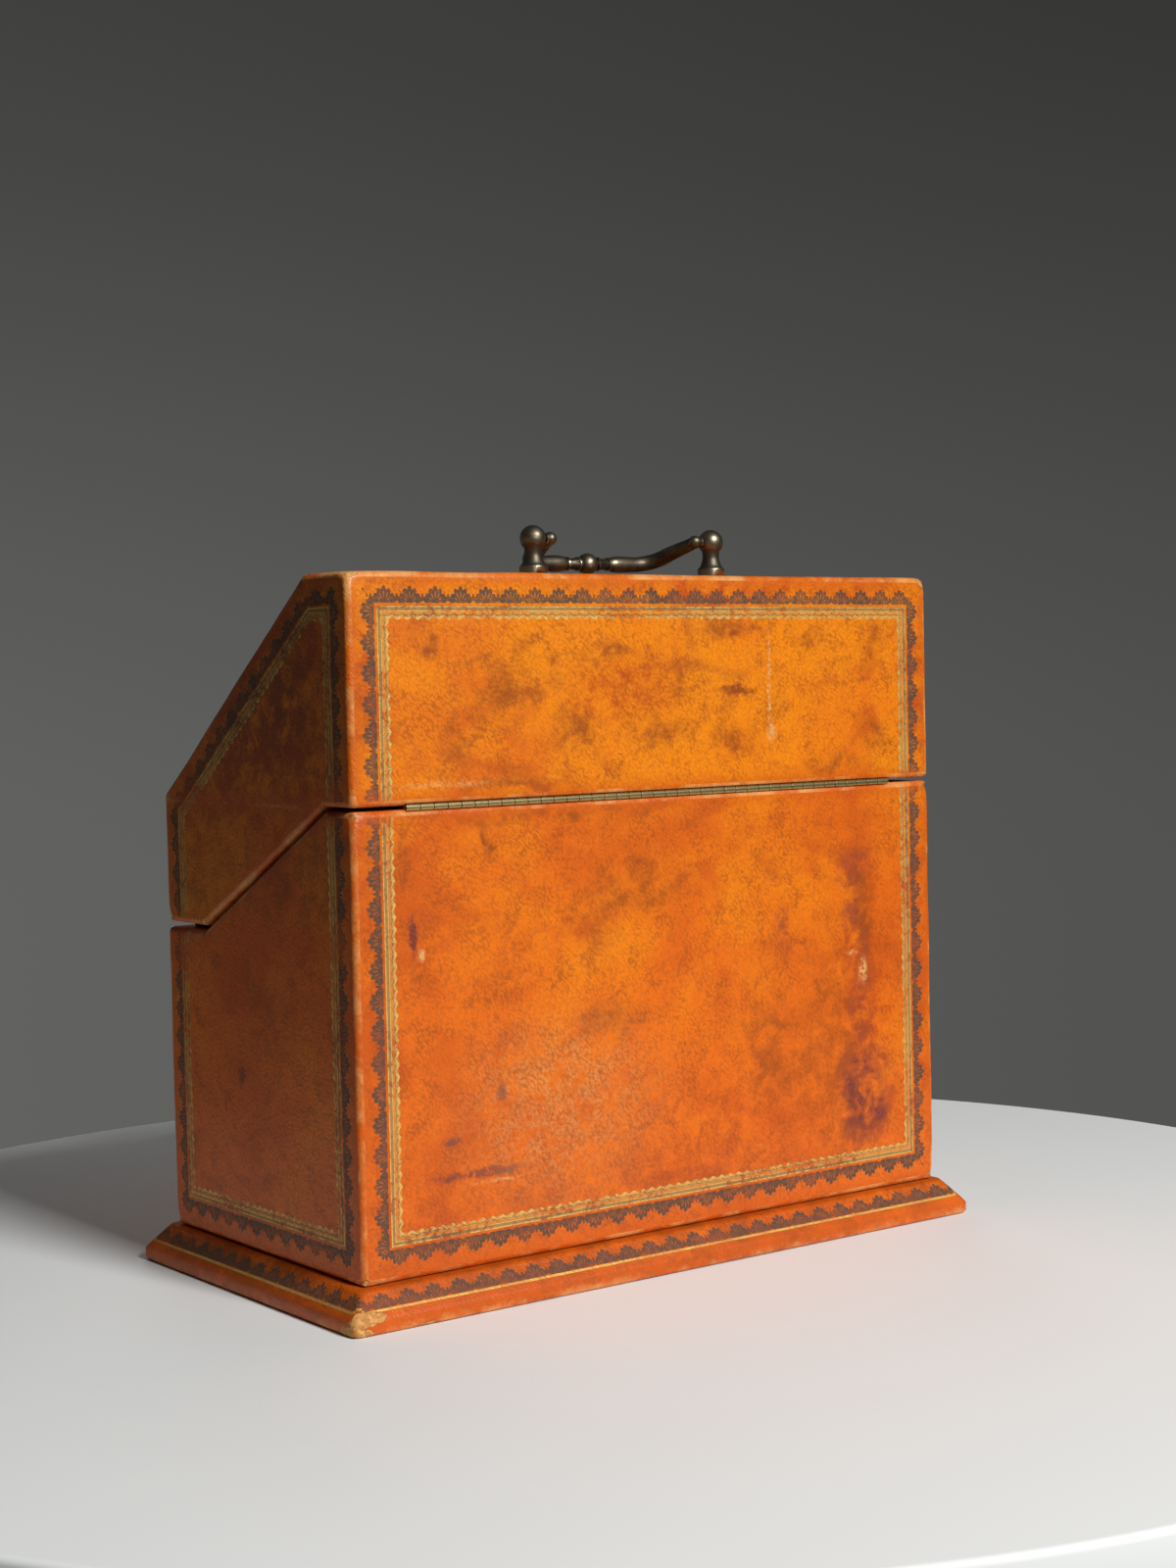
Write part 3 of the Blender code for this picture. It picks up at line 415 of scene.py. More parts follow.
def calf(name, look, ground, marks, roll=full_roll):
    """Tooled calf: its ground, with painted light paler on the body's top, and its marks, among them painted
    shade and sheen; then its grain, its border and its wear, with painted sheen on the rims.
    """
    made, bench, shader = material(name, {"Coat Roughness": 0.3, "Specular IOR Level": 0.3})
    place = place_in_mm(bench)
    across, inwards = split_of(bench, BORDER_MAP)
    rim, corner = split_of(bench, EDGE_MAP)

    slow = place.clouds(62.0, 3.0, 0.8)
    smudged = place.stretched((1.0, 1.0, 1.5)).clouds(26.0, 5.0, 0.9, 0.58)
    mottle = place.clouds(7.0, 5.0, 0.5, 0.6)
    specks = place.clouds(1.9, 5.0, 0.4, 0.72)
    amber, russet, painted_top_light, smudges = ground
    height = bench.node("ShaderNodeSeparateXYZ", {0: place}).other("Z")
    # On the body the amber share rises with height: painted light, paler towards the top.
    paler_and_top_lit = slow + amber + (height / TOP_LIGHT_MID_HEIGHT - 1) * painted_top_light
    base = paler_and_top_lit.ease(0.32, 0.76).tint(colour(look.orange), colour(look.amber))
    base = (((1 - slow) + russet + (smudged - 0.5)).ease(0.48, 0.86) * 0.8).tint(base, colour(look.russet))
    base = ((smudged * 0.75 + mottle * 0.25).ease(0.50, 0.74) * smudges).tint(base, colour(look.umber))
    flecks = mottle.ease(0.50, 0.76) * 0.5 + specks.ease(0.56, 0.8) * 0.5
    base = (flecks * (slow * 0.9)).tint(base, colour(look.umber))
    loose = place.shaken(16.0, 15.0).shaken(6.0, 6.0).shaken(2.0, 1.5)
    tight = place.shaken(5.0, 2.6)
    broken = (mottle * 0.8 + specks * 0.4 + smudged * 0.3).ease(0.52, 0.98)
    for kind in ("russet", "umber", "plum"):
        base = marked(base, loose, broken, marks.get(kind, ()), colour(getattr(look, kind)))
    scratchy = (mottle * 0.5 + specks * 0.9).ease(0.56, 0.86)
    base = marked(base, tight, scratchy, marks.get("nicks", ()), colour(look.plum))
    base = marked(base, tight, scratchy, marks.get("worn_and_sheen", ()), colour(look.worn_and_sheen))

    lean = place.node("ShaderNodeMapping", {"Vector": place, "Rotation": (0.5, 0.75, 0.6)})
    lean = lean.stretched((0.72, 1.0, 1.3)).shaken(3.0, 1.2)
    pebbles = lean.cells(0.9, "SMOOTH_F1")
    pores = lean.cells(0.5)
    creases = pebbles.ease(0.28, 0.62) * (mottle.ease(0.3, 0.7) * 0.42 + 0.15)
    base = (creases + pores.ease(0.45, 0.75) * 0.12).tint(base, colour(look.umber))

    wear = place.clouds(14.0, 6.0, 0.5, 0.68)
    leaf = place.clouds(31.0, 5.0, 0.3, 0.7)
    patches = (leaf * 0.55 + wear * 0.45 + (specks - 0.5) * 0.8).ease(0.37, 0.56)
    dark, gold = roll(across, inwards, patches)
    pressed = (wear * 0.7 + leaf * 0.3 + (specks - 0.5) * 0.9).ease(0.22, 0.60) * 0.42 + 0.53
    base = (dark * pressed).tint(base, colour(look.tooling))
    base = gold.tint(base, colour(look.gold))

    ragged = (wear - 0.5) * 5.0 + (mottle - 0.5) * 3.0
    base = ((rim + ragged).ease(6.5, 0.0) * 0.62).tint(base, colour(look.russet))
    # Paler rims in patches: partly real rubbing, partly painted sheen along the rounded edges.
    scuff_and_sheen_patches = (leaf * 0.5 + wear * 0.5).ease(0.44, 0.62) * (specks * 1.5)
    rub_and_sheen = (rim + (specks - 0.5) * 3.0).ease(1.5, -0.2) * scuff_and_sheen_patches
    base = bounded(rub_and_sheen).tint(base, colour(look.worn_and_sheen))
    knocks = (corner + (specks - 0.5) * 5.0 + (wear - 0.5) * 9.0).ease(2.4, 1.2) * 0.8
    torn = place.shaken(3.0, 2.2)
    for mark in marks.get("bare", ()):
        knocks = knocks.most(soft_mark(torn, mark).ease(0.36, 0.44))
    fibres = specks.ease(0.40, 0.60) * 0.6 + mottle.ease(0.45, 0.65) * 0.35
    base = (knocks * 0.95).tint(base, fibres.tint(colour(look.bare), colour(look.umber)))

    grain = (1 - pebbles) * 0.15 + (1 - pores) * 0.04 + specks * 0.05 + mottle * 0.12
    relief = grain - dark * 0.14 - gold * 0.05 - knocks * 0.35
    handled = (1 - bounded(rim / 3)) * 0.06
    gloss = 0.36 + pebbles * 0.12 + smudged * 0.12 + dark * 0.12 + knocks * 0.25 - handled
    plug(shader, Base_Color=base, Roughness=gloss, Metallic=gold * 0.5,
         Coat_Weight=(1 - knocks) * 0.07, Normal=bumped(relief))
    return made


def split_of(bench, uv_map):
    """The two values of a UV map."""
    parts = bench.node("ShaderNodeSeparateXYZ", {0: bench.node("ShaderNodeUVMap", uv_map=uv_map)})
    return parts, parts.other("Y")


def watered_silk(name, look, base_colour, shade_colour):
    """Silk with the wavy sheen of watering, over a fine ribbed weave."""
    made, bench, shader = material(name, {"Sheen Weight": 0.35, "Sheen Roughness": 0.4,
                                          "Specular IOR Level": 0.35})
    place = place_in_mm(bench)
    drift = place.stretched((0.30, 1.0, 1.0)).clouds(17.0, 3.0, 0.8)
    rings = ((drift * 60.0).maths("SINE") * 0.5 + 0.5).ease(0.1, 0.9)
    split = place.node("ShaderNodeSeparateXYZ", {0: place})
    rib = ((split.other("Z") * (2 * pi / 0.45)).maths("SINE") * 0.5 + 0.5)
    age = place.clouds(55.0, 5.0, 0.3)
    base = rings.tint(shade_colour, base_colour)
    base = (age.ease(0.5, 0.8) * 0.35).tint(base, shade_colour)
    plug(shader, Base_Color=base, Roughness=0.62 - rings * 0.2, Normal=bumped(rib * 0.03 + rings * 0.02))
    return made


def felt(name, look):
    """Short matted wool, all fibre and no weave."""
    made, bench, shader = material(name, {"Sheen Weight": 0.6, "Sheen Roughness": 0.6})
    place = place_in_mm(bench)
    fibres = place.stretched((1.0, 2.2, 1.0)).clouds(0.7, 6.0, 2.5, 0.75)
    base = fibres.ease(0.3, 0.7).tint(colour(look.felt * 0.55), colour(look.felt * 1.5))
    plug(shader, Base_Color=base, Roughness=fibres * 0.1 + 0.85, Normal=bumped(fibres * 0.35))
    return made


def sawn_wood(name, look):
    """Plain board with soft growth rings and saw marks across them."""
    made, bench, shader = material(name, {"Specular IOR Level": 0.3})
    place = place_in_mm(bench)
    rings = place.stretched((0.06, 1.0, 0.6)).clouds(7.0, 4.0, 1.6)
    lines = ((rings * 40.0).maths("SINE") * 0.5 + 0.5).ease(0.2, 1.0)
    saw = place.stretched((1.0, 0.1, 0.1)).clouds(0.8, 3.0)
    base = lines.tint(colour(look.wood), colour(look.wood_grain))
    plug(shader, Base_Color=base, Roughness=0.85 - lines * 0.15, Normal=bumped(saw * 0.08 - lines * 0.04))
    return made


def old_metal(name, bare, dull, roughness, scale, rubbed_at):
    """Metal whose raised places are rubbed bright and whose hollows keep their dull skin."""
    made, bench, shader = material(name, {"Metallic": 1.0})
    place = place_in_mm(bench)
    skin = place.clouds(scale, 6.0, 0.4, 0.65)
    pits = place.clouds(scale / 9, 4.0, 0.0, 0.7)
    crests = bench.node("ShaderNodeNewGeometry", output="Pointiness")
    raised = (crests + (skin - 0.5) * 0.12).ease(*rubbed_at)
    bright = (raised + (skin - 0.5) * 0.9 + (pits - 0.5) * 0.3).ease(0.25, 0.95)
    base = bright.tint(dull, bare)
    plug(shader, Base_Color=base, Roughness=roughness + (1 - bright) * 0.16 + pits * 0.08,
         Normal=bumped(skin * 0.10 + pits * 0.025))
    return made


def paint(obj, made):
    obj.data.materials.clear()
    obj.data.materials.append(made)


def paint_nodes(names, made):
    for name in names:
        paint(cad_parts[name], made)


def new_piece(name, bm, made, body, nodes):
    """One finished piece from a bmesh: shaded, painted, riding on its body and standing for its nodes."""
    mesh = bpy.data.meshes.new(name)
    bm.to_mesh(mesh)
    bm.free()
    obj = bpy.data.objects.new(name, mesh)
    bpy.context.scene.collection.objects.link(obj)
    mesh.materials.append(made)
    mesh.shade_smooth()
    mesh.set_sharp_from_angle(angle=SHARP_ANGLE)
    shading = obj.modifiers.new("Even shading", "WEIGHTED_NORMAL")
    shading.keep_sharp = True
    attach(obj, body)
    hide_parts(*nodes)


def copy_of(node):
    """A bmesh of a CAD node, merged, with its flat faces whole again."""
    bm = bmesh.new()
    bm.from_mesh(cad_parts[node].data)
    bmesh.ops.remove_doubles(bm, verts=bm.verts, dist=MERGE)
    bmesh.ops.dissolve_limit(bm, angle_limit=FLAT_ANGLE, use_dissolve_boundaries=False,
                             verts=bm.verts, edges=bm.edges)
    bmesh.ops.recalc_face_normals(bm, faces=bm.faces)
    return bm


def soften(bm, width, segments=2):
    """Round every sharp edge."""
    edges = [e for e in bm.edges if e.is_manifold and e.calc_face_angle(0) > SHARP_ANGLE]
    bmesh.ops.bevel(bm, geom=edges, offset=width, offset_type="OFFSET", affect="EDGES", segments=segments,
                    profile=0.5, material=-1, clamp_overlap=True)


def cut(bm, faces, place, normal):
    """Cut faces along a plane, and keep both sides."""
    edges = {e for f in faces for e in f.edges}
    verts = {v for f in faces for v in f.verts}
    bmesh.ops.bisect_plane(bm, geom=[*verts, *edges, *faces], plane_co=place, plane_no=normal, dist=MERGE)


class Panel:
    """A flat panel of a cover: its corners in order, and which of its edges carry the tooled border."""

    def __init__(self, corners, bordered, shift=0.0):
        self.corners = [Vector(c) for c in corners]
        count = len(corners)
        spread = (self.corners[i].cross(self.corners[(i + 1) % count]) for i in range(count))
        self.normal = sum(spread, Vector()).normalized()
        self.shift = shift
        self.edges = []
        for i in range(count):
            a, b = self.corners[i], self.corners[(i + 1) % count]
            along = (b - a).normalized()
            self.edges.append((a, b, along, self.normal.cross(along)))
        self.bordered = [self.edges[i] for i in bordered]

    def holds(self, face):
        centre = face.calc_center_median()
        return (face.normal.dot(self.normal) > SAME_WAY
                and abs((centre - self.corners[0]).dot(self.normal)) < ON_PANEL)

    def mitres(self):
        """Planes through each corner where two bordered edges meet."""
        for first in self.bordered:
            for second in self.bordered:
                if (first[1] - second[0]).length < MERGE:
                    yield second[0], (first[3] - second[3]).normalized()

    def nearest(self, point):
        return min(self.bordered, key=lambda edge: (point - edge[0]).dot(edge[3]))

    def from_edges(self, point):
        return min(abs((point - a).dot(inwards)) for a, b, along, inwards in self.edges)


def box_panels(half_x, outline, wide_borders, side_borders):
    """Panels of a cover from its outline in Y and Z, which runs anticlockwise seen from +X.

    wide_borders gives, for each outline edge that has a wide panel, its bordered edges and its shift.
    The edges are 0 and 2 at the sides, 3 where the outline's edge starts and 1 where it ends.
    """
    panels = []
    count = len(outline)
    for i, (bordered, shift) in wide_borders.items():
        (ay, az), (by, bz) = outline[i], outline[(i + 1) % count]
        corners = [(-half_x, ay, az), (-half_x, by, bz), (half_x, by, bz), (half_x, ay, az)]
        panels.append(Panel(corners, bordered, shift))
    right = [(half_x, y, z) for y, z in outline]
    left = [(-half_x, y, z) for y, z in reversed(outline)]
    panels.append(Panel(right, side_borders))
    panels.append(Panel(left, [(count - 2 - i) % count for i in side_borders]))
    return panels


def grid_planes(low, high, step):
    """Places of the cuts along one axis: an even grid, and closer cuts by both ends."""
    count = max(round((high - low) / step), 1)
    places = [low + (high - low) * i / count for i in range(1, count)]
    places += [low + m for m in RIM_CUTS] + [high - m for m in RIM_CUTS]
    return sorted(places)


def map_borders(bm, panels):
    """Write each corner's place along and in from its border, and how near it is to edges and corners."""
    border = bm.loops.layers.uv.new(BORDER_MAP)
    edges = bm.loops.layers.uv.new(EDGE_MAP)
    points = [c for panel in panels for c in panel.corners]
    for face in bm.faces:
        panel = next((p for p in panels if p.holds(face)), None)
        nearest = panel.nearest(face.calc_center_median()) if panel and panel.bordered else None
        for loop in face.loops:
            point = loop.vert.co
            if nearest:
                a, b, along, inwards = nearest
                u = (point - (a + b) / 2).dot(along) / MM
                v = (point - a).dot(inwards) / MM + panel.shift
                loop[border].uv = (u, v)
            else:
                loop[border].uv = (0, FAR_FROM_BORDER)
            rim = max(panel.from_edges(point) / MM, 0.0) if panel else 0.0
            corner = min((point - c).length for c in points) / MM
            loop[edges].uv = (rim, corner)


def age(bm, panels, look):
    """Let the panels lie uneven, and round the knocked corners."""
    outer = []
    for vert in bm.verts:
        depth = min(abs((vert.co - p.corners[0]).dot(p.normal)) for p in panels)
        if depth < OUTER_SKIN:
            outer.append(vert)
    bm.normal_update()
    hinge = sum(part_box("hinge_pin"), Vector()) / 2
    moves = {}
    for vert in outer:
        swell = noise.noise(vert.co / look.swell_width) * look.swell
        ripple = noise.noise(vert.co / look.ripple_width) * look.ripple
        from_hinge = (vert.co - hinge).yz.length - look.hinge_clear
        fade = min(max(from_hinge / look.hinge_clear, 0), 1)
        moves[vert] = vert.normal * (swell + ripple) * fade
    low, high = (Vector((pick(v.co[i] for v in outer) for i in range(3))) for pick in (min, max))
    for vert in outer:
        corner = Vector((low[i] if vert.co[i] < (low[i] + high[i]) / 2 else high[i] for i in range(3)))
        felt_here = 1 - (vert.co - corner).length / look.knock_reach
        if felt_here > 0:
            inwards = ((low + high) / 2 - corner)
            inwards = Vector((1 if x > 0 else -1 for x in inwards)).normalized()
            moves[vert] += inwards * look.knock * felt_here ** 2
    for vert, move in moves.items():
        vert.co += move


def cover(name, node, panels, look, made, body):
    """A leather cover: a copy of its solid, cut into a grid, mapped for its borders and aged."""
    bm = copy_of(node)
    low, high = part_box(node)
    for axis in range(3):
        normal = Vector((axis == 0, axis == 1, axis == 2))
        for at in grid_planes(low[axis], high[axis], look.grid):
            cut(bm, bm.faces[:], normal * at, normal)
    for panel in panels:
        for corner, normal in panel.mitres():
            cut(bm, [f for f in bm.faces if panel.holds(f)], corner, normal)
    map_borders(bm, panels)
    age(bm, panels, look)
    new_piece(name, bm, made, body, [node])


def rise(face):
    """How far a face climbs."""
    heights = [v.co.z for v in face.verts]
    return max(heights) - min(heights)


def body_outline(look):
    """The body's side in Y and Z, from its front foot round by the back."""
    low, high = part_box("body_leather")
    front_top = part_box("lid_leather")[0].z - SEAM_GAP_FRONT
    return [(low.y, low.z), (high.y, low.z), (high.y, high.z), (high.y - look.seam_back, high.z),
            (low.y + look.seam_front, front_top), (low.y, front_top)]


def lid_outline(look):
    """The lid's side in Y and Z, from its front foot along the seam and round by the back."""
    low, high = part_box("lid_leather")
    back_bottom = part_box("body_leather")[1].z + SEAM_GAP_BACK
    return [(low.y, low.z), (low.y + look.seam_front, low.z), (high.y - look.seam_back, back_bottom),
            (high.y, back_bottom), (high.y, high.z), (high.y - look.flat_top, high.z),
            (low.y, low.z + look.lid_front)]


# Marks by colour: each has a centre and radii in millimetres, and a strength. Most are stains and wear; the
# painted shade and sheen among them are noted where they stand.
LID_MARKS = {
    "umber": [
        ((22, 60, 201.5), (13, 8, 2.2), 0.85), ((36, 60, 178), (13, 8, 10), 0.55),
        ((46, 60, 196), (4, 8, 8), 0.45), ((66, 60, 192), (20, 8, 13), 0.42),
        ((84, 60, 177), (9, 8, 7), 0.4), ((-28, 60, 172), (14, 8, 8), 0.55),
        ((-6, 60, 196), (4, 8, 10), 0.52), ((-33, 60, 209), (22, 8, 3.0), 0.5),
        ((-63, 60, 207), (9, 8, 4), 0.5), ((3, 60, 176), (15, 8, 6), 0.5),
        ((-31, 60, 190), (10, 8, 1.6), 0.7), ((90, 60, 203), (5, 8, 3), 0.6),
        # The second mark here and the first on the next line are painted shadow along the lid's lower edge,
        # above the seam.
        ((-93, 60, 173), (10, 8, 7), 0.5), ((-70, 60, 163), (26, 8, 3.5), 0.5),
        ((55, 60, 160.5), (28, 8, 2.0), 0.5), ((58, 60, 205), (7, 8, 4), 0.5),
        # The second mark here darkens the lid's whole +X side: painted shade.
        ((-96, 60, 205), (5, 8, 8), 0.35), ((118, 10, 190), (6, 60, 40), 0.6),
    ],
    "russet": [
        ((-40, 60, 222), (80, 8, 5), 0.8), ((-113, 60, 190), (7, 8, 34), 0.8),
        ((113, 60, 195), (6, 8, 30), 0.5), ((20, 60, 190), (30, 8, 14), 0.5),
        # This mark over the lid's whole +X side is painted shade.
        ((118, 0, 180), (7, 70, 60), 0.9),
    ],
    "worn_and_sheen": [
        ((-45.5, 60, 192), (0.9, 8, 17), 0.75), ((-46, 60, 174.5), (2.2, 8, 3.2), 1.1),
        # A painted sheen: a pale streak along the lid's lower edge.
        ((88, 60, 162.5), (22, 8, 1.2), 0.35),
    ],
    "bare": [
        ((-120, 60.5, 227), (5.5, 5, 4.5), 1.0), ((119, 60.5, 227), (4.5, 4.5, 1.8), 1.0),
    ],
}
BODY_MARKS = {
    "umber": [
        ((-85, 60, 43), (12, 8, 12), 0.95), ((13, 60, 128), (22, 8, 11), 0.42),
        ((26, 60, 84), (16, 8, 9), 0.45), ((-45, 60, 77), (24, 8, 14), 0.4),
        ((72, 60, 145), (2.2, 8, 8), 0.6), ((102, 60, 143), (3, 8, 12), 0.55),
        ((118, -10.7, 69), (8, 2.4, 5), 1.0), ((118, -40, 68), (8, 1.8, 3.5), 0.7),
        # The first mark here is painted shadow along the body's top edge, under the seam.
        ((50, 60, 152), (60, 8, 2.2), 0.5), ((118, -22, 128), (8, 1.2, 9), 0.6),
        # The second mark here darkens the upper +X side of the body: painted shade.
        ((118, 10, 92), (8, 14, 20), 0.35), ((118, 20, 140), (6, 60, 30), 0.45),
        ((-44, 60, 62), (15, 8, 16), 0.4), ((-86, 60, 112), (7, 8, 22), 0.55),
        ((28, 60, 122), (12, 8, 14), 0.25), ((-72, 60, 66), (20, 8, 46), 0.35),
    ],
    "plum": [
        ((-87, 60, 46), (15, 8, 22), 0.8), ((-86, 60, 78), (8, 8, 34), 0.4),
        ((-80, 60, 113), (6, 8, 9), 0.45), ((-50, 60, 107), (6, 8, 9), 0.35),
        # The second mark here is a broad faint wash: the lower body darker and greyer towards the bottom.
        ((-84, 60, 128), (10, 8, 12), 0.3), ((20, 60, 24), (110, 8, 16), 0.16),
    ],
    "nicks": [
        ((99.5, 60, 117), (1.6, 8, 7.5), 1.1), ((68, 60, 65.5), (2.2, 8, 4), 1.0),
        ((76, 60, 41.5), (22, 8, 1.7), 0.95), ((86, 60, 52.5), (6, 8, 1.6), 0.8),
    ],
    "russet": [
        ((-88, 60, 84), (14, 8, 44), 0.95), ((-60, 60, 30), (70, 8, 10), 0.45),
        ((113, 60, 80), (7, 8, 80), 0.85), ((-113, 60, 90), (7, 8, 70), 0.9),
        ((60, 60, 45), (50, 8, 26), 0.5), ((10, 60, 40), (120, 8, 34), 0.5),
    ],
    "worn_and_sheen": [
        ((-86.5, 60, 90), (2.4, 8, 5.5), 1.0), ((-82, 60, 97), (3.2, 8, 1.2), 0.7),
        # The first mark here is painted sheen: a broad faint pale patch low on the body's back, towards +X.
        ((45, 60, 58), (48, 8, 34), 0.2), ((96.5, 60, 111), (1.5, 8, 2.5), 0.8),
        ((70, 60, 38.5), (12, 8, 0.8), 0.5),
    ],
}
PLINTH_MARKS = {
    "umber": [
        ((60, 67, 8), (40, 8, 4), 0.4), ((-60, 67, 6), (50, 8, 2.5), 0.4),
        # The first mark here darkens the plinth's whole +X side: painted shade.
        ((128, -4, 6), (9, 72, 16), 1.3), ((-20, 67, 2), (130, 9, 4.5), 0.8),
        ((0, 67, 12), (140, 12, 9), 0.3),
    ],
    "bare": [
        ((127, 68, 5.4), (13, 3.2, 3.4), 1.0), ((128, 66, 1), (9, 8, 3.0), 1.0),
    ],
}

# Shares of amber, of russet, of amber towards the top as painted light on the body's top, and of smudges.
BODY_GROUND = (-0.12, 0.09, 0.20, 0.24)
LID_GROUND = (0.16, -0.06, 0.0, 0.45)
PLINTH_GROUND = (-0.20, 0.26, 0.0, 0.60)


class BOX_OT_leather(bpy.types.Operator):
    """Cover the plinth, body and lid in tooled calf"""

    bl_idname = "stationery_box.leather"
    bl_label = "Leather"

    def execute(self, context):
        look = context.scene.stationery_box.leather
        body_calf = calf("body_calf", look, BODY_GROUND, BODY_MARKS)
        lid_calf = calf("lid_calf", look, LID_GROUND, LID_MARKS)
        plinth_calf = calf("plinth_calf", look, PLINTH_GROUND, PLINTH_MARKS, plinth_roll)
        half_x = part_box("body_leather")[1].x
        wide = {1: ([0, 2, 3], 0), 5: ([0, 1, 2], 0)}
        body = box_panels(half_x, body_outline(look), wide, [0, 1, 5])
        cover("body_cover", "body_leather", body, look, body_calf, "body")
        wide = {3: ([0, 1, 2], 0), 4: ([0, 1, 2, 3], NARROW_SHIFT), 5: ([0, 1, 2, 3], 0), 6: ([0, 2, 3], 0)}
        lid = box_panels(half_x, lid_outline(look), wide, [3, 4, 5, 6])
        cover("lid_cover", "lid_leather", lid, look, lid_calf, "lid")
        self.cover_plinth(look, plinth_calf)
        return {"FINISHED"}

    def cover_plinth(self, look, made):
        """The plinth's chamfer carries the roll upright, and its moulded edge stays plain."""
        low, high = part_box("plinth_leather")
        bm = copy_of("plinth_leather")
        flattest, steepest = CHAMFER_TILT
        sides = [f for f in bm.faces
                 if flattest < f.normal.z < steepest and rise(f) > look.chamfer_rise / 2]
        border = bm.loops.layers.uv.new(BORDER_MAP)
        edges = bm.loops.layers.uv.new(EDGE_MAP)
        for face in bm.faces:
            for loop in face.loops:
                point = loop.vert.co
                out = min(high.x - abs(point.x), high.y - abs(point.y))
                loop[border].uv = (0, FAR_FROM_BORDER)
                from_corner = Vector((high.x - abs(point.x), high.y - abs(point.y), point.z)).length
                rim = (point.z - low.z) * PLINTH_RIM[0] + out * PLINTH_RIM[1]
                loop[edges].uv = (rim / MM, from_corner / MM)
        for face in sides:
            top_z = max(v.co.z for v in face.verts)
            along_x = abs(face.normal.y) > abs(face.normal.x)
            slope = face.normal.z / max(abs(face.normal.x), abs(face.normal.y))
            for loop in face.loops:
                point = loop.vert.co
                drop = (top_z - point.z) / MM
                v = CHAMFER_TOP + drop * (1 + slope * slope) ** 0.5
                loop[border].uv = ((point.x if along_x else point.y) / MM, v)
        new_piece("plinth_cover", bm, made, "body", ["plinth_leather"])


class BOX_OT_carcass(bpy.types.Operator):
    """Finish the boards under the leather and the felt pad"""

    bl_idname = "stationery_box.carcass"
    bl_label = "Carcass"

    def execute(self, context):
        look = context.scene.stationery_box.lining
        wood = sawn_wood("carcass_wood", look)
        boards = [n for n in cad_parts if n.endswith("_board")]
        paint_nodes([*boards, "body_floor", "plinth_core"], wood)
        paint_nodes(["base_pad"], felt("base_felt", look))
        return {"FINISHED"}


LINED = ("lining_back", "lining_front", "lining_left", "lining_right", "lining_floor",
         "divider_back", "divider_middle", "divider_front",
         "lid_lining_band", "lid_lining_left", "lid_lining_right")


class BOX_OT_lining(bpy.types.Operator):
    """Line the box and its dividers with watered silk"""

    bl_idname = "stationery_box.lining"
    bl_label = "Lining"

    def execute(self, context):
        look = context.scene.stationery_box.lining
        silk = watered_silk("lining_silk", look, colour(look.silk), colour(look.silk_shade))
        for name in LINED:
            bm = copy_of(name)
            if name == "lining_front":
                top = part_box(name)[1].z - MERGE
                tops = [v for v in bm.verts if v.co.z > top]
                bmesh.ops.translate(bm, verts=tops, vec=(0, 0, look.lip))
            soften(bm, look.soft_edge)
            body = "lid" if name.startswith("lid_") else "body"
            new_piece(f"silk_{name}", bm, silk, body, [name])
        return {"FINISHED"}


class BOX_OT_hinge(bpy.types.Operator):
    """Dress the long rolled hinge, its pin and its nails"""

    bl_idname = "stationery_box.hinge"
    bl_label = "Hinge"

    def execute(self, context):
        look = context.scene.stationery_box.metal
        brass = old_metal("hinge_brass", colour(look.brass), colour(look.tarnish),
                          roughness=0.36, scale=5.0, rubbed_at=(0.46, 0.56))
        for side in ("body", "lid"):
            bm = copy_of(f"hinge_{side}_leaf")
            soften(bm, look.knuckle_ease)
            new_piece(f"{side}_leaf", bm, brass, side, [f"hinge_{side}_leaf"])
        nails = [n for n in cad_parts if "_nail_" in n]
        paint_nodes([*nails, "hinge_pin"], brass)
        return {"FINISHED"}


class BOX_OT_handle(bpy.types.Operator):
    """Turn the handle's posts, cast its bail and finish its nuts"""

    bl_idname = "stationery_box.handle"
    bl_label = "Handle"

    def execute(self, context):
        look = context.scene.stationery_box.metal
        bronze = old_metal("handle_bronze", colour(look.rubbed), colour(look.bronze),
                           roughness=0.30, scale=7.0, rubbed_at=(0.47, 0.60))
        steel = old_metal("nut_steel", colour(look.steel), colour(look.steel * 0.4),
                          roughness=0.35, scale=3.0, rubbed_at=(0.45, 0.55))
        for side in ("left", "right"):
            bm = copy_of(f"handle_post_{side}")
            new_piece(f"post_{side}", bm, bronze, "lid", [f"handle_post_{side}"])
        bm = copy_of("bail_handle")
        new_piece("bail", bm, bronze, "bail", ["bail_handle"])
        fixings = [f"handle_{kind}_{side}" for kind in ("nut", "washer") for side in ("left", "right")]
        paint_nodes(fixings, steel)
        return {"FINISHED"}


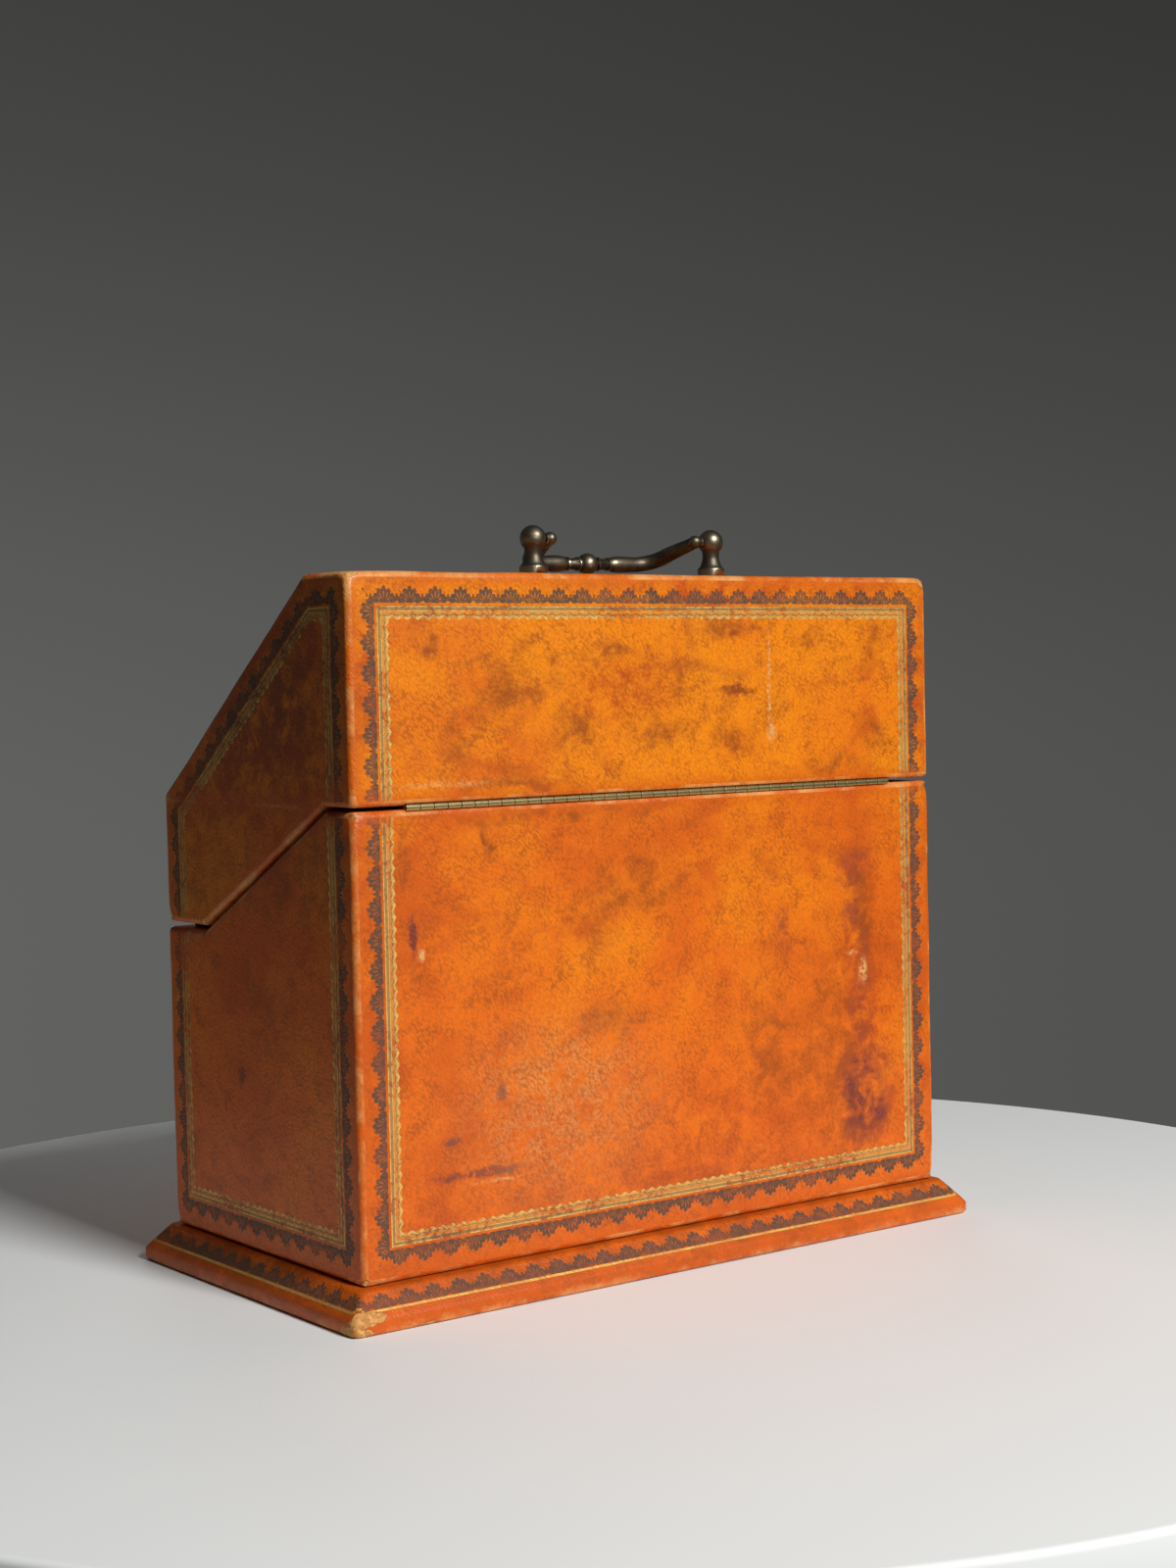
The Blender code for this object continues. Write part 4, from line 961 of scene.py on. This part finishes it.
class BOX_OT_stage(bpy.types.Operator):
    """Set the round pale floor, the backdrop, the lights and the camera"""

    bl_idname = "stationery_box.stage"
    bl_label = "Stage"

    def execute(self, context):
        look = context.scene.stationery_box.stage
        self.lay_floor(look)
        self.hang_backdrop(context, look)
        self.add_lamp("key", look.key_power, look.key_place, look.key_size)
        self.add_lamp("fill", look.fill_power, look.fill_place, look.fill_size).visible_glossy = False
        self.add_lamp("gleam", look.gleam_power, look.fill_place, look.fill_size)
        self.aim_camera(context, look)
        context.scene.view_settings.view_transform = "Standard"
        return {"FINISHED"}

    def lay_floor(self, look):
        made, bench, shader = material("table_top", {"Specular IOR Level": 0.08})
        place = place_in_mm(bench)
        grime = place.clouds(90.0, 5.0, 0.2)
        base = (grime.ease(0.45, 0.75) * 0.05).tint(colour(look.table), colour(look.table * 0.85))
        plug(shader, Base_Color=base, Roughness=grime * 0.1 + 0.6)
        bm = bmesh.new()
        bmesh.ops.create_circle(bm, cap_ends=True, segments=TABLE_SIDES, radius=look.table_radius,
                                matrix=Matrix.Translation(look.table_middle))
        grown = bmesh.ops.extrude_face_region(bm, geom=bm.faces[:])
        lowered = [v for v in grown["geom"] if isinstance(v, bmesh.types.BMVert)]
        bmesh.ops.translate(bm, verts=lowered, vec=(0, 0, -TABLE_THICKNESS))
        bmesh.ops.recalc_face_normals(bm, faces=bm.faces)
        soften(bm, TABLE_EASE, 4)
        mesh = bpy.data.meshes.new("floor")
        bm.to_mesh(mesh)
        bm.free()
        floor = bpy.data.objects.new("floor", mesh)
        bpy.context.scene.collection.objects.link(floor)
        paint(floor, made)
        mesh.shade_smooth()
        mesh.set_sharp_from_angle(angle=SHARP_ANGLE)

    def hang_backdrop(self, context, look):
        """Camera and reflections see the wall; the object is lit by an even pale room."""
        world = bpy.data.worlds.new("room")
        context.scene.world = world
        world.use_nodes = True
        bench = Socket(world.node_tree)
        background = world.node_tree.nodes["Background"]
        rays = bench.node("ShaderNodeLightPath")
        seen = rays.most(rays.other("Is Glossy Ray")).most(rays.other("Is Transmission Ray"))
        way = bench.node("ShaderNodeTexCoord", output="Generated")
        height = bench.node("ShaderNodeSeparateXYZ", {0: way}).other("Z")
        across = bench.node("ShaderNodeVectorMath", {0: way, 1: PALER_SIDE}, "Value", operation="DOT_PRODUCT")
        # The wall carries painted light: darker towards the top and paler towards one side.
        shade = height.ease(*WALL_FADE).tint(colour(look.backdrop_top), colour(look.backdrop))
        shade = shade.scaled(across.ease(-WALL_SPREAD, WALL_SPREAD) * 0.5 + 0.75)
        wall = bench.node("ShaderNodeBackground", {"Color": shade, "Strength": 1.0})
        room = bench.node("ShaderNodeBackground", {"Color": (1, 1, 1, 1), "Strength": look.sky})
        both = bench.node("ShaderNodeMixShader", {0: seen, 1: room, 2: wall})
        output = world.node_tree.nodes["World Output"]
        world.node_tree.links.new(both.socket, output.inputs["Surface"])
        world.node_tree.nodes.remove(background)

    def add_lamp(self, name, power, place, size):
        lamp = bpy.data.lights.new(name, "AREA")
        lamp.shape = "DISK"
        lamp.size = size
        lamp.energy = power
        obj = bpy.data.objects.new(name, lamp)
        bpy.context.scene.collection.objects.link(obj)
        obj.location = place
        obj.visible_camera = False
        aim = Vector(LAMP_AIM) - Vector(place)
        obj.rotation_euler = aim.to_track_quat("-Z", "Y").to_euler()
        return obj

    def aim_camera(self, context, look):
        camera = bpy.data.cameras.new("camera")
        camera.sensor_fit = "VERTICAL"
        camera.sensor_height = FILM
        camera.sensor_width = FILM
        camera.lens = look.lens
        obj = bpy.data.objects.new("camera", camera)
        context.scene.collection.objects.link(obj)
        obj.location = look.camera_place
        obj.rotation_euler = look.camera_turn
        context.scene.camera = obj


class BOX_PT_sidebar(bpy.types.Panel):
    """Settings and steps of the stationery box"""

    bl_idname = "BOX_PT_sidebar"
    bl_label = "Stationery Box"
    bl_space_type = "VIEW_3D"
    bl_region_type = "UI"
    bl_category = "Stationery Box"

    def draw(self, context):
        look = context.scene.stationery_box
        for group, step in GROUPS:
            part = self.layout.box()
            part.operator(step.bl_idname)
            if group:
                settings = getattr(look, group)
                for name in settings.bl_rna.properties.keys():
                    if name not in ("rna_type", "name"):
                        part.prop(settings, name)


GROUPS = (("stage", BOX_OT_stage), ("leather", BOX_OT_leather), ("lining", BOX_OT_lining),
          (None, BOX_OT_carcass), ("metal", BOX_OT_hinge), (None, BOX_OT_handle))
CLASSES = (LeatherLook, LiningLook, MetalLook, StageLook, BoxLook, BOX_OT_stage, BOX_OT_leather,
           BOX_OT_carcass, BOX_OT_lining, BOX_OT_hinge, BOX_OT_handle, BOX_PT_sidebar)


def register():
    for made in CLASSES:
        bpy.utils.register_class(made)
    bpy.types.Scene.stationery_box = PointerProperty(type=BoxLook)


def unregister():
    del bpy.types.Scene.stationery_box
    for made in reversed(CLASSES):
        bpy.utils.unregister_class(made)


def main():
    register()
    bpy.ops.stationery_box.stage()
    bpy.ops.stationery_box.leather()
    bpy.ops.stationery_box.carcass()
    bpy.ops.stationery_box.lining()
    bpy.ops.stationery_box.hinge()
    bpy.ops.stationery_box.handle()


if __name__ == "__main__":
    main()
